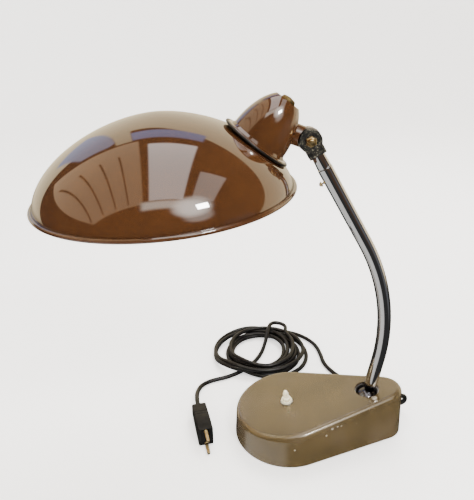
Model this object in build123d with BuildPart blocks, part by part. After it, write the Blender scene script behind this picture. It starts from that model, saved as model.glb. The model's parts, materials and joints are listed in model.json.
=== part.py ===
from build123d import *
import os
from math import asin, cos, degrees, pi, radians, sin, sqrt, tan

# Adjustable desk lamp: teardrop base, ball joint, bent chrome arm, knuckle and domed shade.
# Millimetres, +Z up. The origin is on the table, straight below the centre of the ball joint.
# +X points to the narrow end of the base, -X to the switch and the shade.

# Base
BASE_BIG_RADIUS = 66.0
BASE_BIG_REACH = 101.7
BASE_SMALL_RADIUS = 27.0
BASE_SMALL_REACH = 19.4
BASE_HEIGHT = 58.5
BASE_SLOPE = 8.0
BASE_DRAFT = 2.5
BASE_DRAW = 90.0
BASE_EDGE_RADIUS = 6.6
BASE_WALL = 2.5
TABLE_GAP = 0.4
FELT_THICKNESS = 1.6
FELT_INSET = 1.0
PLATE_THICKNESS = 2.0
PLATE_CLEARANCE = 0.3
BOSS_RADIUS = 4.5
BOSS_INSET = 6.5
BOSS_ANGLE = 125.0
BOSS_SHARE = 0.45
BASE_SCREW_RADIUS = 1.7
BASE_SCREW_DEPTH = 8.0
BASE_SCREW_HEAD_RADIUS = 3.3
BASE_SCREW_HEAD_HEIGHT = 1.3
SCREW_HOLE_CLEARANCE = 0.2
PILOT_CLEARANCE = 0.05
BALLAST_RADIUS = 50.0
BALLAST_HEIGHT = 20.0
BALLAST_BORE = 12.0
BALLAST_SCREW_RADIUS = 2.5
BALLAST_SCREW_REACH = 30.0

# Ball joint
BALL_RADIUS = 15.5
BALL_DEPTH = 15.5
BALL_HOLE_RADIUS = 15.0
BALL_FIT = 0.06
SEAT_RADIUS = 24.0
SEAT_BORE = 13.5
SEAT_RISE = 3.0
CUP_WALL = 2.3
CUP_DROP = 5.0
CUP_HOLE = 6.0
SPRING_GAP = 0.3
SPRING_THICKNESS = 1.2
SPRING_DISH = 1.8
SPRING_RADIUS = 13.0
SPRING_BORE = 6.0
RETAINER_RADIUS = 20.0
RETAINER_GAP = 0.5
RETAINER_FLANGE = 3.0
RETAINER_FLOOR = 2.5
RETAINER_BORE = 5.0
RETAINER_SCREW_REACH = 21.9
RETAINER_SCREW_RADIUS = 1.2
RETAINER_SCREW_DEPTH = 4.0
RETAINER_SCREW_HEAD_RADIUS = 1.8
RETAINER_SCREW_HEAD_HEIGHT = 1.5
RETAINER_SCREW_COUNT = 3

# Arm
ARM_LEAN = 9.5
ARM_LOWER_RUN = 145.6
ARM_TIP_LEAN = 30.0
ARM_UPPER_RUN = 221.0
ARM_BEND_RADIUS = 240.0
TUBE_RADIUS = 8.0
TUBE_WALL = 1.4
TUBE_START = 26.0
TUBE_STOP = 34.5
SHANK_RADIUS = 5.6
SPIGOT_LENGTH = 16.0
LEAD_RADIUS = 2.6
LEAD_CLEARANCE = 0.2
LEAD_TAIL = 14.0
BUSH_LENGTH = 30.0
STUB_RADIUS = 5.4
STUB_FIT = 0.05
THUMBSCREW_DROP = 14.2
THUMBSCREW_RADIUS = 1.4
THUMBSCREW_HEAD_RADIUS = 2.6
THUMBSCREW_HEAD_LENGTH = 3.2
THUMBSCREW_NECK = 2.6
THUMBSCREW_GAP = 0.3

# Knuckle
KNUCKLE_RADIUS = 11.9
KNUCKLE_THICKNESS = 10.0
KNUCKLE_CLEARANCE = 0.9
KNUCKLE_GAP = 0.3
WASHER_THICKNESS = 1.0
WASHER_OVERHANG = 0.7
LUG_WIDTH = 19.0
LUG_DEPTH = 17.0
LUG_LENGTH = 18.0
LUG_EDGE_RADIUS = 1.2
BOLT_RADIUS = 3.0
BOLT_FIT = 0.05
BOLT_TAIL = 2.2
BOLT_HEAD_RADIUS = 6.0
BOLT_HEAD_HEIGHT = 3.5
NUT_RADIUS = 5.2
NUT_HEIGHT = 3.6

# Neck
STUB_DROOP = 22.0
NECK_REACH = 43.3
NECK_LEAN = 37.5
NECK_STUB_RISE = 23.9
NECK_STUB_RADIUS = 11.0
GASKET_THICKNESS = 1.0
GASKET_RADIUS = 35.5
FLANGE_THICKNESS = 1.4
FLANGE_RADIUS = 38.0
CAP_RADIUS = 30.5
CAP_RISE = 56.0
CAP_HEIGHT = 50.0
CAP_WALL = 1.5
CAP_SEAM = 0.05
CAP_CURVE_STEPS = 8
CAP_NUT_RADIUS = 7.3
CAP_NUT_HEIGHT = 4.6
CAP_NUT_EDGE = 1.2

# Shade
SHADE_RADIUS = 135.6
SHADE_DEPTH_SHARE = 0.601
SHADE_FULLNESS = 1.71
SHADE_WALL = 1.0
SHADE_TILT = 3.0
SHADE_CURVE_STEPS = 14
BEAD_RADIUS = 2.2
SEAT_SHARE = 0.7312
SEAT_SINK = 6.0

# Lampholder and bulb
HOLDER_RADIUS = 17.5
HOLDER_WALL = 2.8
HOLDER_TOP = 30.0
HOLDER_MOUTH = 6.0
HOLDER_COLLAR_RADIUS = 23.0
HOLDER_COLLAR_HEIGHT = 3.0
HOLDER_HOLE_CLEARANCE = 0.3
HOLDER_ROOF = 3.0
RING_RADIUS = 26.0
RING_HEIGHT = 4.0
THREAD_FIT = 0.05
SHELL_WALL = 1.0
CONTACT_PLATE = 3.0
CONTACT_RADIUS = 4.0
CONTACT_HEIGHT = 1.5
NIPPLE_RADIUS = 5.0
NIPPLE_BORE = 3.5
BULB_CAP_CLEARANCE = 0.3
BULB_CAP_LENGTH = 27.0
BULB_RADIUS = 23.0
BULB_LENGTH = 50.0
BULB_NECK_RADIUS = 12.0
BULB_GLASS = 0.8

# Switch
SWITCH_REACH = 102.0
SWITCH_BODY_RADIUS = 8.5
SWITCH_BODY_HEIGHT = 18.0
SWITCH_NECK_RADIUS = 5.0
SWITCH_HOLE_CLEARANCE = 0.2
SWITCH_WASHER_RADIUS = 7.8
SWITCH_WASHER_HEIGHT = 1.0
SWITCH_COLLAR_RADIUS = 7.0
SWITCH_COLLAR_HEIGHT = 6.5
SWITCH_COLLAR_EDGE = 1.6
PLUNGER_RADIUS = 2.8
PLUNGER_FIT = 0.06
PLUNGER_STAND = 10.0
PLUNGER_DEPTH = 10.0
PLUNGER_TRAVEL = 3.0
PLUNGER_FLOOR_GAP = 0.5

# Cord, wiring and plug
CORD_RADIUS = 3.1
CORD_STRAIGHT = 6.5
PLUG_STRAIGHT = 12.0
EXIT_AZIMUTH = 20.0
EXIT_HEIGHT = 36.0
GROMMET_RADIUS = 4.6
GROMMET_FLANGE_RADIUS = 6.0
GROMMET_FLANGE_LENGTH = 3.0
GROMMET_FIT = 0.1
GROMMET_INNER_LENGTH = 3.0
GROMMET_WALL_GAP = 0.3
BLOCK_LENGTH = 18.0
BLOCK_WIDTH = 24.0
BLOCK_HEIGHT = 12.0
BLOCK_GAP = 5.2
INNER_LEAD_HEIGHT = 6.0
INNER_LEAD_BEND = 6.0
CLAMP_REACH = 8.0
CLAMP_LENGTH = 8.0
CLAMP_WIDTH = 26.0
CLAMP_HEIGHT = 11.0
CLAMP_SCREW_RADIUS = 1.5
CLAMP_SCREW_SPACING = 18.0
CLAMP_SCREW_HEAD_RADIUS = 2.8
CLAMP_SCREW_HEAD_HEIGHT = 1.8
SWITCH_LEAD_RADIUS = 1.2
SWITCH_LEAD_SPACING = 6.0
SWITCH_LEAD_BEND = 4.0
PLUG_LENGTH = 50.0
PLUG_HEIGHT = 26.0
PLUG_BACK_HEIGHT = 17.0
PLUG_THICKNESS = 19.0
PLUG_EDGE_RADIUS = 2.0
PLUG_TURN = 10.7
PLUG_FRONT = (-206.0, -23.0)
PIN_RADIUS = 2.4
PIN_LENGTH = 19.0
PIN_DEPTH = 10.0
PIN_SPACING = 19.0
COIL_LEFT = (-140.0, 168.0)
COIL_LEFT_RADIUS = 68.0
COIL_RIGHT = (-105.0, 166.0)
COIL_RIGHT_RADIUS = 72.0
COIL_EYE = (-117.0, 166.0)
COIL_EYE_RADIUS = 40.0
COIL_HEIGHT = 20.0
COIL_EDGE_RADIUS = 6.0

# Directions and places that follow from the sizes
PLATE_TOP = FELT_THICKNESS + PLATE_THICKNESS
BASE_SPAN = BASE_BIG_REACH + BASE_SMALL_REACH
SIDE_ANGLE = degrees(asin((BASE_BIG_RADIUS - BASE_SMALL_RADIUS) / BASE_SPAN))
ALONG_SLOPE = Vector(cos(radians(BASE_SLOPE)), 0, sin(radians(BASE_SLOPE)))
ACROSS = Vector(0, -1, 0)
BASE_TOP = Plane(origin=(0, 0, BASE_HEIGHT), x_dir=ALONG_SLOPE, z_dir=ACROSS.cross(ALONG_SLOPE))
BALL_CENTRE = Vector(0, 0, BASE_HEIGHT - BALL_DEPTH)

ARM_DIRECTION = Vector(sin(radians(ARM_LEAN)), 0, cos(radians(ARM_LEAN)))
TIP_DIRECTION = Vector(-sin(radians(ARM_TIP_LEAN)), 0, cos(radians(ARM_TIP_LEAN)))
ARM_CORNER = BALL_CENTRE + ARM_DIRECTION * ARM_LOWER_RUN
PIVOT = ARM_CORNER + TIP_DIRECTION * ARM_UPPER_RUN
ARM_SECTION = Plane(origin=BALL_CENTRE, x_dir=ACROSS.cross(ARM_DIRECTION) * -1, z_dir=ACROSS)
TIP_SECTION = Plane(origin=PIVOT, x_dir=ACROSS.cross(TIP_DIRECTION) * -1, z_dir=ACROSS)
TUBE_BORE = TUBE_RADIUS - TUBE_WALL

STUB_DIRECTION = Vector(cos(radians(STUB_DROOP)), 0, -sin(radians(STUB_DROOP)))
NECK_DIRECTION = Vector(sin(radians(NECK_LEAN)), 0, cos(radians(NECK_LEAN)))
NECK_SEAT = PIVOT - STUB_DIRECTION * NECK_REACH - NECK_DIRECTION * NECK_STUB_RISE
NECK_SECTION = Plane(origin=NECK_SEAT, x_dir=ACROSS.cross(NECK_DIRECTION) * -1, z_dir=ACROSS)
NECK = Plane(origin=NECK_SEAT, x_dir=NECK_SECTION.x_dir, z_dir=NECK_DIRECTION)
FLANGE_TOP = GASKET_THICKNESS + FLANGE_THICKNESS
CAP_TOP = FLANGE_TOP + CAP_HEIGHT

SHADE_DIRECTION = Vector(-sin(radians(SHADE_TILT)), 0, cos(radians(SHADE_TILT)))
SHADE_ACROSS = ACROSS.cross(SHADE_DIRECTION) * -1
DOME_RADIUS = SHADE_RADIUS - BEAD_RADIUS + SHADE_WALL / 2
SHADE_DEPTH = SHADE_RADIUS * SHADE_DEPTH_SHARE
SEAT_OFFSET = DOME_RADIUS * SEAT_SHARE
SEAT_HEIGHT = SHADE_DEPTH * (1 - SEAT_SHARE ** SHADE_FULLNESS) ** (1 / SHADE_FULLNESS) - SEAT_SINK
SHADE_CENTRE = NECK_SEAT - SHADE_ACROSS * SEAT_OFFSET - SHADE_DIRECTION * SEAT_HEIGHT
SHADE_SECTION = Plane(origin=SHADE_CENTRE, x_dir=SHADE_ACROSS, z_dir=ACROSS)

SWITCH_POINT = Vector(-SWITCH_REACH, 0, BASE_HEIGHT - SWITCH_REACH * tan(radians(BASE_SLOPE)))
SWITCH_SECTION = Plane(origin=SWITCH_POINT, x_dir=ALONG_SLOPE, z_dir=ACROSS)

EXIT_DIRECTION = Vector(cos(radians(EXIT_AZIMUTH)), sin(radians(EXIT_AZIMUTH)), 0)
EXIT_WALL_REACH = BASE_SMALL_RADIUS - (EXIT_HEIGHT - TABLE_GAP) * tan(radians(BASE_DRAFT))
EXIT_WALL = Vector(BASE_SMALL_REACH, 0, EXIT_HEIGHT) + EXIT_DIRECTION * EXIT_WALL_REACH
GROMMET_OUT = GROMMET_WALL_GAP + GROMMET_FLANGE_RADIUS * tan(radians(BASE_DRAFT)) + GROMMET_FLANGE_LENGTH
CORD_EXIT = EXIT_WALL + EXIT_DIRECTION * GROMMET_OUT
PLUG_DIRECTION = Vector(sin(radians(PLUG_TURN)), -cos(radians(PLUG_TURN)), 0)
PLUG_FACE = Vector(PLUG_FRONT[0], PLUG_FRONT[1], PLUG_HEIGHT / 2)
PLUG_BACK = PLUG_FACE - PLUG_DIRECTION * PLUG_LENGTH


def teardrop(plane, inset):
    """Outline of the base: two rounds and their tangents, moved inwards by inset."""
    with BuildSketch(plane) as outline:
        with Locations((-BASE_BIG_REACH, 0)):
            Circle(BASE_BIG_RADIUS - inset)
        with Locations((BASE_SMALL_REACH, 0)):
            Circle(BASE_SMALL_RADIUS - inset)
        make_hull()
    return outline.sketch


def base_form(inset):
    """Solid form of the base with its skin moved inwards by inset."""
    bottom = Plane.XY.offset(TABLE_GAP)
    taper = BASE_DRAW * tan(radians(BASE_DRAFT))
    with BuildPart() as form:
        loft([teardrop(bottom, inset), teardrop(bottom.offset(BASE_DRAW), inset + taper)], ruled=True)
        split(bisect_by=BASE_TOP.offset(-inset), keep=Keep.BOTTOM)
        fillet(form.faces().sort_by(Axis.Z)[-1].edges(), BASE_EDGE_RADIUS - inset)
    return form.part


def boss_places():
    """Centres of the base screws: two beside the large round, two along the straight sides."""
    far = BASE_BIG_RADIUS - BOSS_INSET
    near = BASE_BIG_RADIUS + (BASE_SMALL_RADIUS - BASE_BIG_RADIUS) * BOSS_SHARE - BOSS_INSET
    far_x = far * cos(radians(BOSS_ANGLE)) - BASE_BIG_REACH
    far_y = far * sin(radians(BOSS_ANGLE))
    near_x = BASE_SPAN * BOSS_SHARE + near * sin(radians(SIDE_ANGLE)) - BASE_BIG_REACH
    near_y = near * cos(radians(SIDE_ANGLE))
    return [(far_x, far_y), (far_x, -far_y), (near_x, near_y), (near_x, -near_y)]


def turn(section, *corners):
    """Turn a closed outline of (radius, height) corners about the section's upright axis."""
    with BuildSketch(section) as outline:
        Polygon(*corners, align=None)
    revolve(outline.sketch, axis=Axis(section.origin, section.y_dir))


def washer(section, bore, radius, low, high):
    """Ring between two heights."""
    turn(section, (bore, low), (radius, low), (radius, high), (bore, high))


def upright(places, radius, low, high, mode=Mode.ADD):
    """Upright cylinders between two heights."""
    with Locations(*[(place[0], place[1], low) for place in places]):
        Cylinder(radius, high - low, align=(Align.CENTER, Align.CENTER, Align.MIN), mode=mode)


def rod(start, end, radius, mode=Mode.ADD):
    """Round bar between two points."""
    with BuildSketch(Plane(origin=start, z_dir=end - start)) as section:
        Circle(radius)
    extrude(section.sketch, amount=(end - start).length, mode=mode)


def bend_radii(points):
    """Radius of each bend of a cord: nearly as large as its two runs allow."""
    radii = []
    for before, corner, after in zip(points, points[1:], points[2:]):
        reach = 0.45 * min((corner - before).length, (after - corner).length)
        radii.append(reach / tan(radians((corner - before).get_angle(after - corner)) / 2))
    return radii


def tube(points, radii, radius, bore=0):
    """Round tube along straight runs with tangent bends; returns the length of its middle line."""
    with BuildLine() as path:
        FilletPolyline(*points, radius=radii)
    with BuildSketch(Plane(origin=points[0], z_dir=points[1] - points[0])) as section:
        Circle(radius)
        if bore > 0:
            Circle(bore, mode=Mode.SUBTRACT)
    sweep(section.sketch, path=path.line)
    return sum(edge.length for edge in path.edges())


# Base housing: hollow, with four screw bosses and the holes for ball, switch and cord
with BuildPart() as base_void:
    add(base_form(BASE_WALL))
    upright(boss_places(), BOSS_RADIUS, PLATE_TOP, BASE_DRAW, Mode.SUBTRACT)

with BuildPart() as base_housing:
    add(base_form(0))
    add(base_void.part, mode=Mode.SUBTRACT)
    upright([(0, 0)], BALL_HOLE_RADIUS, BALL_CENTRE.Z, BASE_DRAW, Mode.SUBTRACT)
    pilot = BASE_SCREW_RADIUS + PILOT_CLEARANCE
    upright(boss_places(), pilot, PLATE_TOP, PLATE_TOP + BASE_SCREW_DEPTH, Mode.SUBTRACT)
    switch_up = SWITCH_SECTION.y_dir
    switch_hole = SWITCH_NECK_RADIUS + SWITCH_HOLE_CLEARANCE
    rod(SWITCH_POINT - switch_up * BASE_WALL * 2, SWITCH_POINT + switch_up, switch_hole, Mode.SUBTRACT)
    cord_hole = GROMMET_RADIUS + GROMMET_FIT
    rod(EXIT_WALL - EXIT_DIRECTION * BASE_WALL * 2, CORD_EXIT, cord_hole, Mode.SUBTRACT)

with BuildPart() as base_plate:
    plate_inset = BASE_WALL + PLATE_CLEARANCE
    extrude(teardrop(Plane.XY.offset(FELT_THICKNESS), plate_inset), amount=PLATE_THICKNESS)
    upright(boss_places(), BASE_SCREW_RADIUS + SCREW_HOLE_CLEARANCE, 0, PLATE_TOP, Mode.SUBTRACT)

with BuildPart() as felt_pad:
    extrude(teardrop(Plane.XY, BASE_WALL + FELT_INSET), amount=FELT_THICKNESS)
    upright(boss_places(), BASE_SCREW_HEAD_RADIUS + SCREW_HOLE_CLEARANCE, 0, FELT_THICKNESS, Mode.SUBTRACT)

with BuildPart() as base_screws:
    head_bottom = FELT_THICKNESS - BASE_SCREW_HEAD_HEIGHT
    upright(boss_places(), BASE_SCREW_HEAD_RADIUS, head_bottom, FELT_THICKNESS)
    upright(boss_places(), BASE_SCREW_RADIUS, FELT_THICKNESS, PLATE_TOP + BASE_SCREW_DEPTH)

BALLAST_PLACES = [(-BASE_BIG_REACH, BALLAST_SCREW_REACH), (-BASE_BIG_REACH, -BALLAST_SCREW_REACH)]
BALLAST_TOP = PLATE_TOP + BALLAST_HEIGHT
with BuildPart() as ballast_weight:
    upright([(-BASE_BIG_REACH, 0)], BALLAST_RADIUS, PLATE_TOP, BALLAST_TOP)
    upright([(-BASE_BIG_REACH, 0)], BALLAST_BORE, PLATE_TOP, BALLAST_TOP, Mode.SUBTRACT)
    ballast_pilot = BALLAST_SCREW_RADIUS + PILOT_CLEARANCE
    upright(BALLAST_PLACES, ballast_pilot, PLATE_TOP, BALLAST_TOP, Mode.SUBTRACT)

with BuildPart() as ballast_screws:
    screw_head = BALLAST_SCREW_RADIUS * 2
    upright(BALLAST_PLACES, BALLAST_SCREW_RADIUS, PLATE_TOP, BALLAST_TOP)
    upright(BALLAST_PLACES, screw_head, BALLAST_TOP, BALLAST_TOP + BALLAST_SCREW_RADIUS)

# Ball joint: seat above the ball, sprung cup below it
SEAT_BOTTOM = BALL_CENTRE.Z + SEAT_RISE
RETAINER_TURNS = [radians(360 * place / RETAINER_SCREW_COUNT) for place in range(RETAINER_SCREW_COUNT)]
RETAINER_PLACES = [(RETAINER_SCREW_REACH * cos(at), RETAINER_SCREW_REACH * sin(at)) for at in RETAINER_TURNS]
with BuildPart() as ball_seat:
    upright([(0, 0)], SEAT_RADIUS, SEAT_BOTTOM, BASE_DRAW)
    split(bisect_by=BASE_TOP.offset(-BASE_WALL), keep=Keep.BOTTOM)
    upright([(0, 0)], SEAT_BORE, SEAT_BOTTOM, BASE_DRAW, Mode.SUBTRACT)
    with Locations(BALL_CENTRE):
        Sphere(BALL_RADIUS + BALL_FIT, mode=Mode.SUBTRACT)
    retainer_pilot = RETAINER_SCREW_RADIUS + PILOT_CLEARANCE
    pilot_top = SEAT_BOTTOM + RETAINER_SCREW_DEPTH
    upright(RETAINER_PLACES, retainer_pilot, SEAT_BOTTOM, pilot_top, Mode.SUBTRACT)

CUP_RADIUS = BALL_RADIUS + BALL_FIT + CUP_WALL
SPRING_SEAT = BALL_CENTRE.Z - sqrt(CUP_RADIUS ** 2 - SPRING_BORE ** 2) - SPRING_GAP
SPRING_LOW = SPRING_SEAT - SPRING_THICKNESS - SPRING_DISH
FLANGE_LOW = SEAT_BOTTOM - RETAINER_FLANGE
FLOOR_LOW = SPRING_LOW - RETAINER_FLOOR
CUP_ROOM = CUP_RADIUS + RETAINER_GAP
with BuildPart() as spring_retainer:
    turn(
        Plane.XZ,
        (RETAINER_BORE, FLOOR_LOW),
        (RETAINER_RADIUS, FLOOR_LOW),
        (RETAINER_RADIUS, FLANGE_LOW),
        (SEAT_RADIUS, FLANGE_LOW),
        (SEAT_RADIUS, SEAT_BOTTOM),
        (CUP_ROOM, SEAT_BOTTOM),
        (CUP_ROOM, SPRING_LOW),
        (RETAINER_BORE, SPRING_LOW),
    )
    upright(RETAINER_PLACES, retainer_pilot, FLANGE_LOW, SEAT_BOTTOM, Mode.SUBTRACT)

with BuildPart() as retainer_screws:
    upright(RETAINER_PLACES, RETAINER_SCREW_RADIUS, FLANGE_LOW, pilot_top)
    head_low = FLANGE_LOW - RETAINER_SCREW_HEAD_HEIGHT
    upright(RETAINER_PLACES, RETAINER_SCREW_HEAD_RADIUS, head_low, FLANGE_LOW)

with BuildPart() as pressure_cup:
    with Locations(BALL_CENTRE):
        Sphere(CUP_RADIUS)
        Sphere(BALL_RADIUS + BALL_FIT, mode=Mode.SUBTRACT)
    split(bisect_by=Plane.XY.offset(BALL_CENTRE.Z - CUP_DROP), keep=Keep.BOTTOM)
    upright([(0, 0)], CUP_HOLE, 0, BALL_CENTRE.Z, Mode.SUBTRACT)

with BuildPart() as disc_spring:
    turn(
        Plane.XZ,
        (SPRING_BORE, SPRING_SEAT),
        (SPRING_BORE, SPRING_SEAT - SPRING_THICKNESS),
        (SPRING_RADIUS, SPRING_LOW + SPRING_GAP),
        (SPRING_RADIUS, SPRING_LOW + SPRING_GAP + SPRING_THICKNESS),
    )

# Arm: ball with its shank, bent tube, bush and thumbscrew
with BuildPart() as arm_ball:
    with Locations(BALL_CENTRE):
        Sphere(BALL_RADIUS)
    turn(
        ARM_SECTION,
        (0, 0),
        (SHANK_RADIUS, BALL_RADIUS / 2),
        (SHANK_RADIUS, BALL_RADIUS),
        (TUBE_RADIUS, TUBE_START),
        (TUBE_BORE, TUBE_START),
        (TUBE_BORE, TUBE_START + SPIGOT_LENGTH),
        (0, TUBE_START + SPIGOT_LENGTH),
    )
    lead_bore = LEAD_RADIUS + LEAD_CLEARANCE
    lead_low = BALL_CENTRE - ARM_DIRECTION * BALL_RADIUS * 2
    lead_high = BALL_CENTRE + ARM_DIRECTION * (TUBE_START + SPIGOT_LENGTH)
    rod(lead_low, lead_high, lead_bore, Mode.SUBTRACT)

TUBE_LOW = BALL_CENTRE + ARM_DIRECTION * TUBE_START
TUBE_HIGH = PIVOT - TIP_DIRECTION * TUBE_STOP
THUMBSCREW_POINT = TUBE_HIGH - TIP_DIRECTION * THUMBSCREW_DROP
THUMBSCREW_OUT = TIP_SECTION.x_dir * -1
THUMBSCREW_TIP = THUMBSCREW_POINT + THUMBSCREW_OUT * (STUB_RADIUS + THUMBSCREW_GAP)
THUMBSCREW_HEAD = THUMBSCREW_POINT + THUMBSCREW_OUT * (TUBE_RADIUS + THUMBSCREW_NECK)
with BuildPart() as arm_tube:
    tube([TUBE_LOW, ARM_CORNER, TUBE_HIGH], ARM_BEND_RADIUS, TUBE_RADIUS, TUBE_BORE)
    rod(THUMBSCREW_TIP, THUMBSCREW_HEAD, THUMBSCREW_RADIUS + PILOT_CLEARANCE, Mode.SUBTRACT)

BUSH_LOW = -TUBE_STOP - BUSH_LENGTH
LEAD_START = BALL_CENTRE - ARM_DIRECTION * LEAD_TAIL
LEAD_END = PIVOT + TIP_DIRECTION * (BUSH_LOW - THUMBSCREW_GAP)
with BuildPart() as arm_lead:
    tube([LEAD_START, ARM_CORNER, LEAD_END], ARM_BEND_RADIUS, LEAD_RADIUS)

with BuildPart() as stub_bush:
    washer(TIP_SECTION, STUB_RADIUS + STUB_FIT, TUBE_BORE, BUSH_LOW, -TUBE_STOP)
    rod(THUMBSCREW_POINT, THUMBSCREW_HEAD, THUMBSCREW_RADIUS + PILOT_CLEARANCE, Mode.SUBTRACT)

with BuildPart() as thumbscrew:
    rod(THUMBSCREW_TIP, THUMBSCREW_HEAD, THUMBSCREW_RADIUS)
    rod(THUMBSCREW_HEAD, THUMBSCREW_HEAD + THUMBSCREW_OUT * THUMBSCREW_HEAD_LENGTH, THUMBSCREW_HEAD_RADIUS)

# Knuckle: a disc on the arm's stub and a disc on the neck, lapped on one bolt.
# Heights across the knuckle count from the middle of the washer, towards the nut.
WASHER_SIDE = WASHER_THICKNESS / 2
DISC_OUT = WASHER_SIDE + KNUCKLE_THICKNESS
NECK_DISC_IN = -WASHER_SIDE - KNUCKLE_GAP
NECK_DISC_OUT = NECK_DISC_IN - KNUCKLE_THICKNESS
HEAD_SIDE = NECK_DISC_OUT - KNUCKLE_GAP
BOLT_END = DISC_OUT + NUT_HEIGHT + BOLT_TAIL
LAP_RADIUS = KNUCKLE_RADIUS + WASHER_OVERHANG + KNUCKLE_CLEARANCE


def across_pivot(low, high, radius, mode=Mode.ADD):
    """Round bar on the pivot's axis."""
    rod(PIVOT + ACROSS * low, PIVOT + ACROSS * high, radius, mode)


with BuildPart() as swivel_stub:
    washer(TIP_SECTION, LEAD_RADIUS, STUB_RADIUS, BUSH_LOW, -LUG_LENGTH)

with BuildPart() as knuckle_lug:
    with BuildSketch(Plane(origin=PIVOT, x_dir=TIP_SECTION.x_dir, z_dir=TIP_DIRECTION * -1)):
        RectangleRounded(LUG_WIDTH, LUG_DEPTH, LUG_EDGE_RADIUS)
    extrude(amount=LUG_LENGTH)
    across_pivot(HEAD_SIDE - BOLT_HEAD_HEIGHT, WASHER_SIDE, LAP_RADIUS, Mode.SUBTRACT)
    across_pivot(WASHER_SIDE, DISC_OUT, KNUCKLE_RADIUS)
    across_pivot(WASHER_SIDE, DISC_OUT, BOLT_RADIUS + BOLT_FIT, Mode.SUBTRACT)

with BuildPart() as friction_washer:
    across_pivot(-WASHER_SIDE, WASHER_SIDE, KNUCKLE_RADIUS + WASHER_OVERHANG)
    across_pivot(-WASHER_SIDE, WASHER_SIDE, BOLT_RADIUS + BOLT_FIT, Mode.SUBTRACT)

with BuildPart() as pivot_bolt:
    across_pivot(HEAD_SIDE, BOLT_END, BOLT_RADIUS)
    across_pivot(HEAD_SIDE - BOLT_HEAD_HEIGHT, HEAD_SIDE, BOLT_HEAD_RADIUS)

with BuildPart() as pivot_nut:
    with BuildSketch(Plane(origin=PIVOT + ACROSS * DISC_OUT, x_dir=TIP_SECTION.x_dir, z_dir=ACROSS)):
        RegularPolygon(NUT_RADIUS, 6)
        Circle(BOLT_RADIUS + BOLT_FIT, mode=Mode.SUBTRACT)
    extrude(amount=NUT_HEIGHT)


# Neck: bell cap with its flange, gasket and nut
def cap_side(inset):
    """Side of the bell, from the flange to its flat top, moved inwards by inset."""
    width = CAP_RADIUS - inset
    rise = CAP_RISE - inset
    last = asin((CAP_HEIGHT - inset) / rise)
    angles = [last * step / CAP_CURVE_STEPS for step in range(CAP_CURVE_STEPS + 1)]
    points = [(width * cos(angle), FLANGE_TOP + rise * sin(angle)) for angle in angles]
    return Spline(*points, tangents=[(0, 1), (-width * sin(last), rise * cos(last))])


NIPPLE_HOLE = NIPPLE_RADIUS + PILOT_CLEARANCE
with BuildPart() as neck_cap:
    with BuildSketch(NECK_SECTION):
        with BuildLine():
            outside = cap_side(0)
            inside = cap_side(CAP_WALL)
            Polyline(outside @ 1, (NIPPLE_HOLE, CAP_TOP), (NIPPLE_HOLE, CAP_TOP - CAP_WALL), inside @ 1)
            Line(inside @ 0, outside @ 0)
        make_face()
    revolve(axis=Axis(NECK_SEAT, NECK_DIRECTION))

with BuildPart() as neck_knuckle:
    rod(PIVOT, PIVOT - STUB_DIRECTION * NECK_REACH, NECK_STUB_RADIUS)
    with BuildSketch(NECK_SECTION):
        with BuildLine():
            seam = cap_side(-CAP_SEAM)
            Polyline(seam @ 1, (0, CAP_TOP + CAP_SEAM), (0, FLANGE_TOP), seam @ 0)
        make_face()
    revolve(axis=Axis(NECK_SEAT, NECK_DIRECTION), mode=Mode.SUBTRACT)
    across_pivot(NECK_DISC_IN, BOLT_END, LAP_RADIUS, Mode.SUBTRACT)
    across_pivot(NECK_DISC_OUT, NECK_DISC_IN, KNUCKLE_RADIUS)
    across_pivot(HEAD_SIDE, NECK_DISC_IN, BOLT_RADIUS + BOLT_FIT, Mode.SUBTRACT)

HOLDER_HOLE = HOLDER_RADIUS + HOLDER_HOLE_CLEARANCE
with BuildPart() as neck_flange:
    washer(NECK_SECTION, HOLDER_HOLE, FLANGE_RADIUS, GASKET_THICKNESS, FLANGE_TOP)

with BuildPart() as neck_gasket:
    washer(NECK_SECTION, HOLDER_HOLE, GASKET_RADIUS, 0, GASKET_THICKNESS)

NIPPLE_TOP = CAP_TOP + CAP_NUT_HEIGHT - CAP_NUT_EDGE
with BuildPart() as cap_nut:
    turn(
        NECK_SECTION,
        (NIPPLE_HOLE, CAP_TOP),
        (CAP_NUT_RADIUS, CAP_TOP),
        (CAP_NUT_RADIUS, NIPPLE_TOP),
        (CAP_NUT_RADIUS - CAP_NUT_EDGE, CAP_TOP + CAP_NUT_HEIGHT),
        (0, CAP_TOP + CAP_NUT_HEIGHT),
        (0, NIPPLE_TOP),
        (NIPPLE_HOLE, NIPPLE_TOP),
    )


# Shade: shallow dome with a flat seat for the neck and a rolled bead
def dome_form(inset):
    """Solid dome of the shade with its skin moved inwards by inset and its neck seat cut flat."""
    width = DOME_RADIUS - inset
    depth = SHADE_DEPTH - inset
    power = 2 / SHADE_FULLNESS
    angles = [radians(90 * step / SHADE_CURVE_STEPS) for step in range(SHADE_CURVE_STEPS + 1)]
    skin = [(width * abs(cos(angle)) ** power, depth * sin(angle) ** power) for angle in angles]
    skin[-1] = (0, depth)
    with BuildPart() as form:
        with BuildSketch(SHADE_SECTION):
            with BuildLine():
                Spline(*skin, tangents=[(0, 1), (-1, 0)])
                Polyline((0, depth), (0, 0), (width, 0))
            make_face()
        revolve(axis=Axis(SHADE_CENTRE, SHADE_DIRECTION))
        split(bisect_by=NECK.offset(-inset), keep=Keep.BOTTOM)
    return form.part


with BuildPart() as shade:
    add(dome_form(0))
    add(dome_form(SHADE_WALL), mode=Mode.SUBTRACT)
    with BuildSketch(SHADE_SECTION):
        with Locations((SHADE_RADIUS, 0)):
            Circle(BEAD_RADIUS)
    revolve(axis=Axis(SHADE_CENTRE, SHADE_DIRECTION))
    rod(NECK_SEAT - NECK_DIRECTION * RING_HEIGHT, NECK_SEAT, HOLDER_HOLE, Mode.SUBTRACT)

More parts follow.
